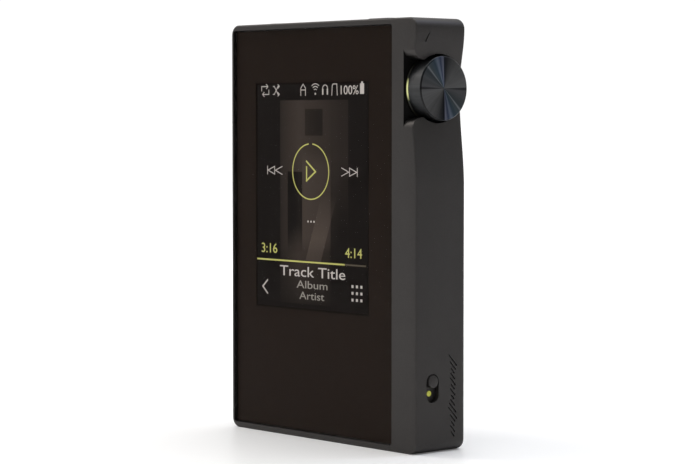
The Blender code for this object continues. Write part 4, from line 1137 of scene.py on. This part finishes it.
flange_inset = Vector((KEY_FLANGE, KEY_FLANGE, 0))
power_cap = pill_mesh(Vector((POWER_LOW.x, POWER_LOW.y, POWER_LOW.z + 0.0004)) + flange_inset,
                      POWER_HIGH - flange_inset, "Z", 10)
round_rim(power_cap, "Z", POWER_HIGH.z, 0.0003, 4)
power = new_object("power_key_cap", power_cap, DARK_STEEL)
carve(power, [cutter("flange", pill_mesh(POWER_LOW, (POWER_HIGH.x, POWER_HIGH.y, POWER_LOW.z + 0.0006),
                                         "Z", 6))], "UNION")
power_middle = (POWER_LOW + POWER_HIGH) / 2
ring_cut = lathe_mesh([(0.00045, POWER_HIGH.z - SIGN_DEPTH), (0.00065, POWER_HIGH.z - SIGN_DEPTH),
                       (0.00065, POWER_HIGH.z + OVERRUN), (0.00045, POWER_HIGH.z + OVERRUN)],
                      power_middle, "Z", 40, closed=True)
carve(power, [cutter("power_sign", ring_cut)])
fit(power, "power_key", "black_plastic", "power_button")

# %% [markdown]
# The two sockets on the top are black plastic bodies with round noses. Around each is a turned metal ring
# with a dished mouth, and inside are gilded contact springs, of which the plug would touch the tips.

# %% Sockets and their rings
for name, bore in (("headphone", 0.00175), ("balanced", 0.00125)):
    ring_low, ring_high = corners(f"{name}_ring")
    jack_low, jack_high = corners(f"{name}_jack")
    centre = (ring_low + ring_high) / 2
    outer = (ring_high.x - ring_low.x) / 2
    dish, chamfer = 0.0005, 0.00015
    profile = [(bore + 0.0001, ring_low.z), (outer, ring_low.z), (outer, ring_high.z - chamfer),
               (outer - chamfer, ring_high.z), (outer - 0.0006, ring_high.z),
               (bore + dish, ring_high.z - 0.00012), (bore + 0.0001 + dish / 3, ring_high.z - 0.0003),
               (bore + 0.0001, ring_high.z - 0.0006)]
    fit(new_object(f"{name}_mouth", lathe_mesh(profile, centre, "Z", 96, closed=True), DARK_STEEL),
        "root", "spun_metal", f"{name}_ring")
    nose = (jack_high.x - jack_low.x) / 2 - 0.0002
    body_top = CAVITY_HIGH.z - 0.0003
    body = new_object(f"{name}_socket", block_mesh(jack_low, (jack_high.x, jack_high.y, body_top), "Z",
                                                   0.0003, 3), BLACK_PLASTIC)
    nose = cutter("nose", rod_mesh(centre, nose, body_top - 0.0004, jack_high.z, "Z", 64))
    carve(body, [nose], "UNION")
    carve(body, [cutter("bore", rod_mesh(centre, bore, jack_low.z + 0.0008, jack_high.z + OVERRUN, "Z",
                                         64))])
    fit(body, "root", "black_plastic", f"{name}_jack")
    springs = bmesh.new()
    for number, turn in enumerate((0.4, 1.97, 3.54, 5.11)):
        spring = round_rim(box_mesh((bore - 0.00035, -0.0003, jack_low.z + 0.003 + number * 0.0016),
                                    (bore + 0.0001, 0.0003, jack_low.z + 0.0042 + number * 0.0016)),
                           "X", bore - 0.00035, 0.0001, 3)
        turn_shape(spring, turn, "Z")
        move_shape(spring, (centre.x, centre.y, 0))
        gather(springs, spring)
    fit(new_object(f"{name}_springs", springs, GOLD), "root", "brass")

# %% [markdown]
# The data port's shell is one drawn steel sleeve with a rolled lip. Its tongue is black plastic with
# twelve gilded pads on each side.

# %% Data port
shell = new_object("port_shell", round_rim(pill_mesh(USB_LOW, USB_HIGH, "Z", 12), "Z", USB_LOW.z, 0.00012,
                                           3), STEEL)
USB_WALL = Vector((0.0003, 0.0003, 0))
hollow = pill_mesh(USB_LOW + USB_WALL - Vector((0, 0, OVERRUN)), USB_HIGH - USB_WALL +
                   Vector((0, 0, OVERRUN)), "Z", 12)
carve(shell, [cutter("hollow", hollow)])
fit(shell, "root", "steel", "usb_shell")
TONGUE_LOW, TONGUE_HIGH = corners("usb_tongue")
tongue = block_mesh(TONGUE_LOW, TONGUE_HIGH, "Y", 0.0004, 4)
round_rim(tongue, "Z", TONGUE_LOW.z, 0.0001, 2)
fit(new_object("port_tongue", tongue, BLACK_PLASTIC), "root", "black_plastic", "usb_tongue")
pads = bmesh.new()
PAD_PITCH, PAD_WIDTH, PAD_LENGTH = 0.0005, 0.00024, 0.0036
for number in range(12):
    x = (number - 5.5) * PAD_PITCH
    for face, way in ((TONGUE_LOW.y, -1), (TONGUE_HIGH.y, 1)):
        edges = sorted((face - way * 0.00002, face + way * 0.00002))
        gather(pads, box_mesh((x - PAD_WIDTH / 2, edges[0], TONGUE_LOW.z + 0.0005),
                              (x + PAD_WIDTH / 2, edges[1], TONGUE_LOW.z + 0.0005 + PAD_LENGTH)))
fit(new_object("port_pads", pads, GOLD), "root", "brass")

# %% [markdown]
# The back cover is a milled plate, held by four screws in counterbores. A slot near the top lets radio
# waves out, and a plastic strip fills it. A field of slanted grooves in the middle gives the fingers grip.

# %% Back cover
COVER_CORNER, COVER_EDGE = 0.0012, 0.0003
WINDOW_LOW, WINDOW_HIGH = corners("antenna_window")
SCREW_HEAD = 0.00115
cover = new_object("rear_plate", round_rim(block_mesh(COVER_LOW, COVER_HIGH, "Y", COVER_CORNER, 8), "Y",
                                           COVER_HIGH.y, COVER_EDGE, 4), COVER_METAL)
opening_low = Vector((WINDOW_LOW.x - KEY_GAP, COVER_LOW.y - OVERRUN, WINDOW_LOW.z - KEY_GAP))
opening_high = Vector((WINDOW_HIGH.x + KEY_GAP, COVER_HIGH.y + OVERRUN, WINDOW_HIGH.z + KEY_GAP))
cover_cuts = [cutter("antenna", block_mesh(opening_low, opening_high, "Y", 0.0009, 6))]
GRIP_ROWS, GRIP_LENGTH, GRIP_WIDTH, GRIP_PITCH, GRIP_DEPTH = 17, 0.03, 0.0007, 0.0019, 0.00018
GRIP_TURN = math.radians(35)
cover_middle = (COVER_LOW + COVER_HIGH) / 2
for row in range(GRIP_ROWS):
    z = cover_middle.z + (row - (GRIP_ROWS - 1) / 2) * GRIP_PITCH
    groove = around((cover_middle.x, 0, z), GRIP_LENGTH, GRIP_WIDTH, COVER_HIGH.y - GRIP_DEPTH,
                    COVER_HIGH.y + OVERRUN, "Y")
    turn_shape(groove, GRIP_TURN, "Y", (cover_middle.x, 0, z))
    cover_cuts.append(cutter(f"groove_{row}", groove))
for number in range(1, 5):
    low, high = corners(f"back_screw_{number}")
    middle = (low + high) / 2
    cover_cuts.append(cutter(f"seat_{number}", rod_mesh(middle, SCREW_HEAD + 0.00015, high.y - 0.0007,
                                                        high.y + OVERRUN, "Y", 48)))
    cover_cuts.append(cutter(f"hole_{number}", rod_mesh(middle, 0.0008, COVER_LOW.y - OVERRUN,
                                                        high.y, "Y", 32)))
carve(cover, cover_cuts)
fit(cover, "root", "body_metal", "back_cover")
strip = round_rim(block_mesh(WINDOW_LOW, WINDOW_HIGH, "Y", 0.0008, 6), "Y", WINDOW_HIGH.y, 0.0001, 2)
fit(new_object("antenna_strip", strip, BLACK_PLASTIC), "root", "black_plastic", "antenna_window")

# %% [markdown]
# The cover's screws are small, with six-sided sockets. Each is turned on the lathe, then its socket is cut
# with a hexagonal rod.

# %% Back screws
SHANK, HEAD_HEIGHT, SOCKET_RADIUS, SOCKET_DEPTH = 0.0007, 0.0006, 0.0005, 0.0004
for number in range(1, 5):
    low, high = corners(f"back_screw_{number}")
    middle = (low + high) / 2
    top, neck = high.y, high.y - HEAD_HEIGHT
    profile = [(0, top), (SCREW_HEAD - 0.0002, top), (SCREW_HEAD, top - 0.0002), (SCREW_HEAD, neck),
               (SHANK, neck), (SHANK, low.y + 0.0003), (SHANK - 0.0002, low.y), (0, low.y)]
    screw = new_object(f"cover_screw_{number}", lathe_mesh(profile, middle, "Y", 48), DARK_STEEL)
    carve(screw, [cutter("socket", rod_mesh(middle, SOCKET_RADIUS, top - SOCKET_DEPTH, top + OVERRUN,
                                            "Y", 6))])
    fit(screw, "root", "steel", f"back_screw_{number}")

# %% [markdown]
# The remaining solids are inside the closed housing. Their CAD shapes are right as they are, so they stay
# and only get the finish of the real part: green boards, black chips, wrapped battery, plated cans.

# %% Finishes for the pieces inside
INSIDE = {
    BOARD: ("main_board", "button_board", "battery_board", "usb_board", "antenna_board"),
    CHIP: ("memory_chip", "converter_chip_left", "converter_chip_right", "amplifier_chip_left",
           "amplifier_chip_right"),
    STEEL: ("display_bracket", "knob_spindle", "encoder_body", "hold_switch", "card_socket_lower",
            "card_socket_upper", "processor_shield", "oscillator_1", "oscillator_2", "board_screw_1",
            "board_screw_2", "board_screw_3", "board_screw_4"),
    BRASS: ("encoder_bush", "encoder_nut"),
    BLACK_PLASTIC: ("battery_connector", "display_connector", "previous_switch", "play_switch",
                    "next_switch", "power_switch"),
    CELL_WRAP: ("battery",), RUBBER: ("glass_gasket",), FLEX: ("display_flex",),
}
for material, names in INSIDE.items():
    for name in names:
        for material_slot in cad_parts[name].material_slots:
            material_slot.material = material
left = [name for name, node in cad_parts.items()
        if not node.hide_render and not any(name in names for names in INSIDE.values())]
print("nodes without a finish:", left)

# %% [markdown]
# Outside the player there is a pale floor, a white surround and soft lamps. The camera sees a plain white
# background, and a softer, shaded surround lights the metal, so that its reflections have some shape.

# %% Studio
FLOOR_SIZE = 60.0
floor_shape = bmesh.new()
bmesh.ops.create_grid(floor_shape, x_segments=1, y_segments=1, size=FLOOR_SIZE / 2)
PALE = (0.93, 0.93, 0.93)
FLOOR, floor_tree, floor_shader = new_material("pale_floor", PALE, 0.35, Specular_IOR_Level=0.3,
                                               Emission_Strength=1.0)
floor_grain = use_group(floor_tree, GRAIN, Scale=60.0, Spread=0.02)
floor_tree.links.new(toned(floor_tree, PALE, floor_grain["Tone"]), floor_shader.inputs["Base Color"])
floor_far = add_node(floor_tree, "ShaderNodeVectorMath", {0: object_place(floor_tree)}, operation="LENGTH")
floor_rays = add_node(floor_tree, "ShaderNodeLightPath")
# Painted light seen only by the camera: the floor glows more the farther it is from the player, so the far
# floor fades into the white background and the floor near the player stays darker.
floor_glow = fade(floor_tree, floor_far.outputs["Value"], 0.08, 0.6, 0.08, 0.5)
floor_seen = product(floor_tree, floor_glow, floor_rays.outputs["Is Camera Ray"])
floor_tree.links.new(toned(floor_tree, (1, 1, 1), floor_seen), floor_shader.inputs["Emission Color"])
floor = new_object("floor", floor_shape, FLOOR)

world = bpy.data.worlds.new("studio")
world.use_nodes = True
bpy.context.scene.world = world
sky = world.node_tree
sky.nodes.clear()
sky_out = sky.nodes.new("ShaderNodeOutputWorld")
sky_rays = add_node(sky, "ShaderNodeLightPath")
sky_place = add_node(sky, "ShaderNodeTexCoord")
sky_split = add_node(sky, "ShaderNodeSeparateXYZ", {0: sky_place.outputs["Generated"]})
sky_strength = product(sky, fade(sky, sky_split.outputs["Z"], 0.0, 1.0, 0.42, 1.15),
                       fade(sky, sky_split.outputs["X"], -0.1, 0.9, 1.0, 0.35))
sky_light = add_node(sky, "ShaderNodeBackground", {"Color": (1, 1, 1, 1), "Strength": sky_strength})
sky_seen = add_node(sky, "ShaderNodeBackground", {"Color": (1, 1, 1, 1), "Strength": 1.05})
sky_mix = add_node(sky, "ShaderNodeMixShader", {0: sky_rays.outputs["Is Camera Ray"],
                                                1: sky_light.outputs[0], 2: sky_seen.outputs[0]})
sky.links.new(sky_mix.outputs[0], sky_out.inputs["Surface"])
bpy.context.scene.view_settings.view_transform = "Standard"


def softbox(name, place, target, width, height, power, colour=(1, 1, 1)):
    """A flat rectangular lamp that faces a point."""
    data = bpy.data.lights.new(name, "AREA")
    data.shape = "RECTANGLE"
    data.size, data.size_y = width, height
    data.energy = power
    data.color = colour
    lamp = bpy.data.objects.new(name, data)
    lamp.location = place
    lamp.rotation_euler = (Vector(target) - Vector(place)).to_track_quat("-Z", "Y").to_euler()
    lamp.visible_transmission = False
    bpy.context.scene.collection.objects.link(lamp)


WARM, BLUISH = (1.0, 0.93, 0.87), (0.55, 0.66, 1.0)
BEHIND_KNOB = KNOB_AXIS + Vector((0.25, 0.62, 0.72)).normalized() * 0.9
softbox("overhead", (0.0, 0.1, 1.0), MIDDLE, 0.8, 0.8, 4.8)
softbox("left_top", (-0.72, -0.34, 0.68), MIDDLE, 0.3, 0.3, 2.4, WARM)
softbox("back_top", BEHIND_KNOB, KNOB_AXIS, 0.2, 0.35, 0.8, BLUISH)
print("lamps:", len(bpy.data.lights))
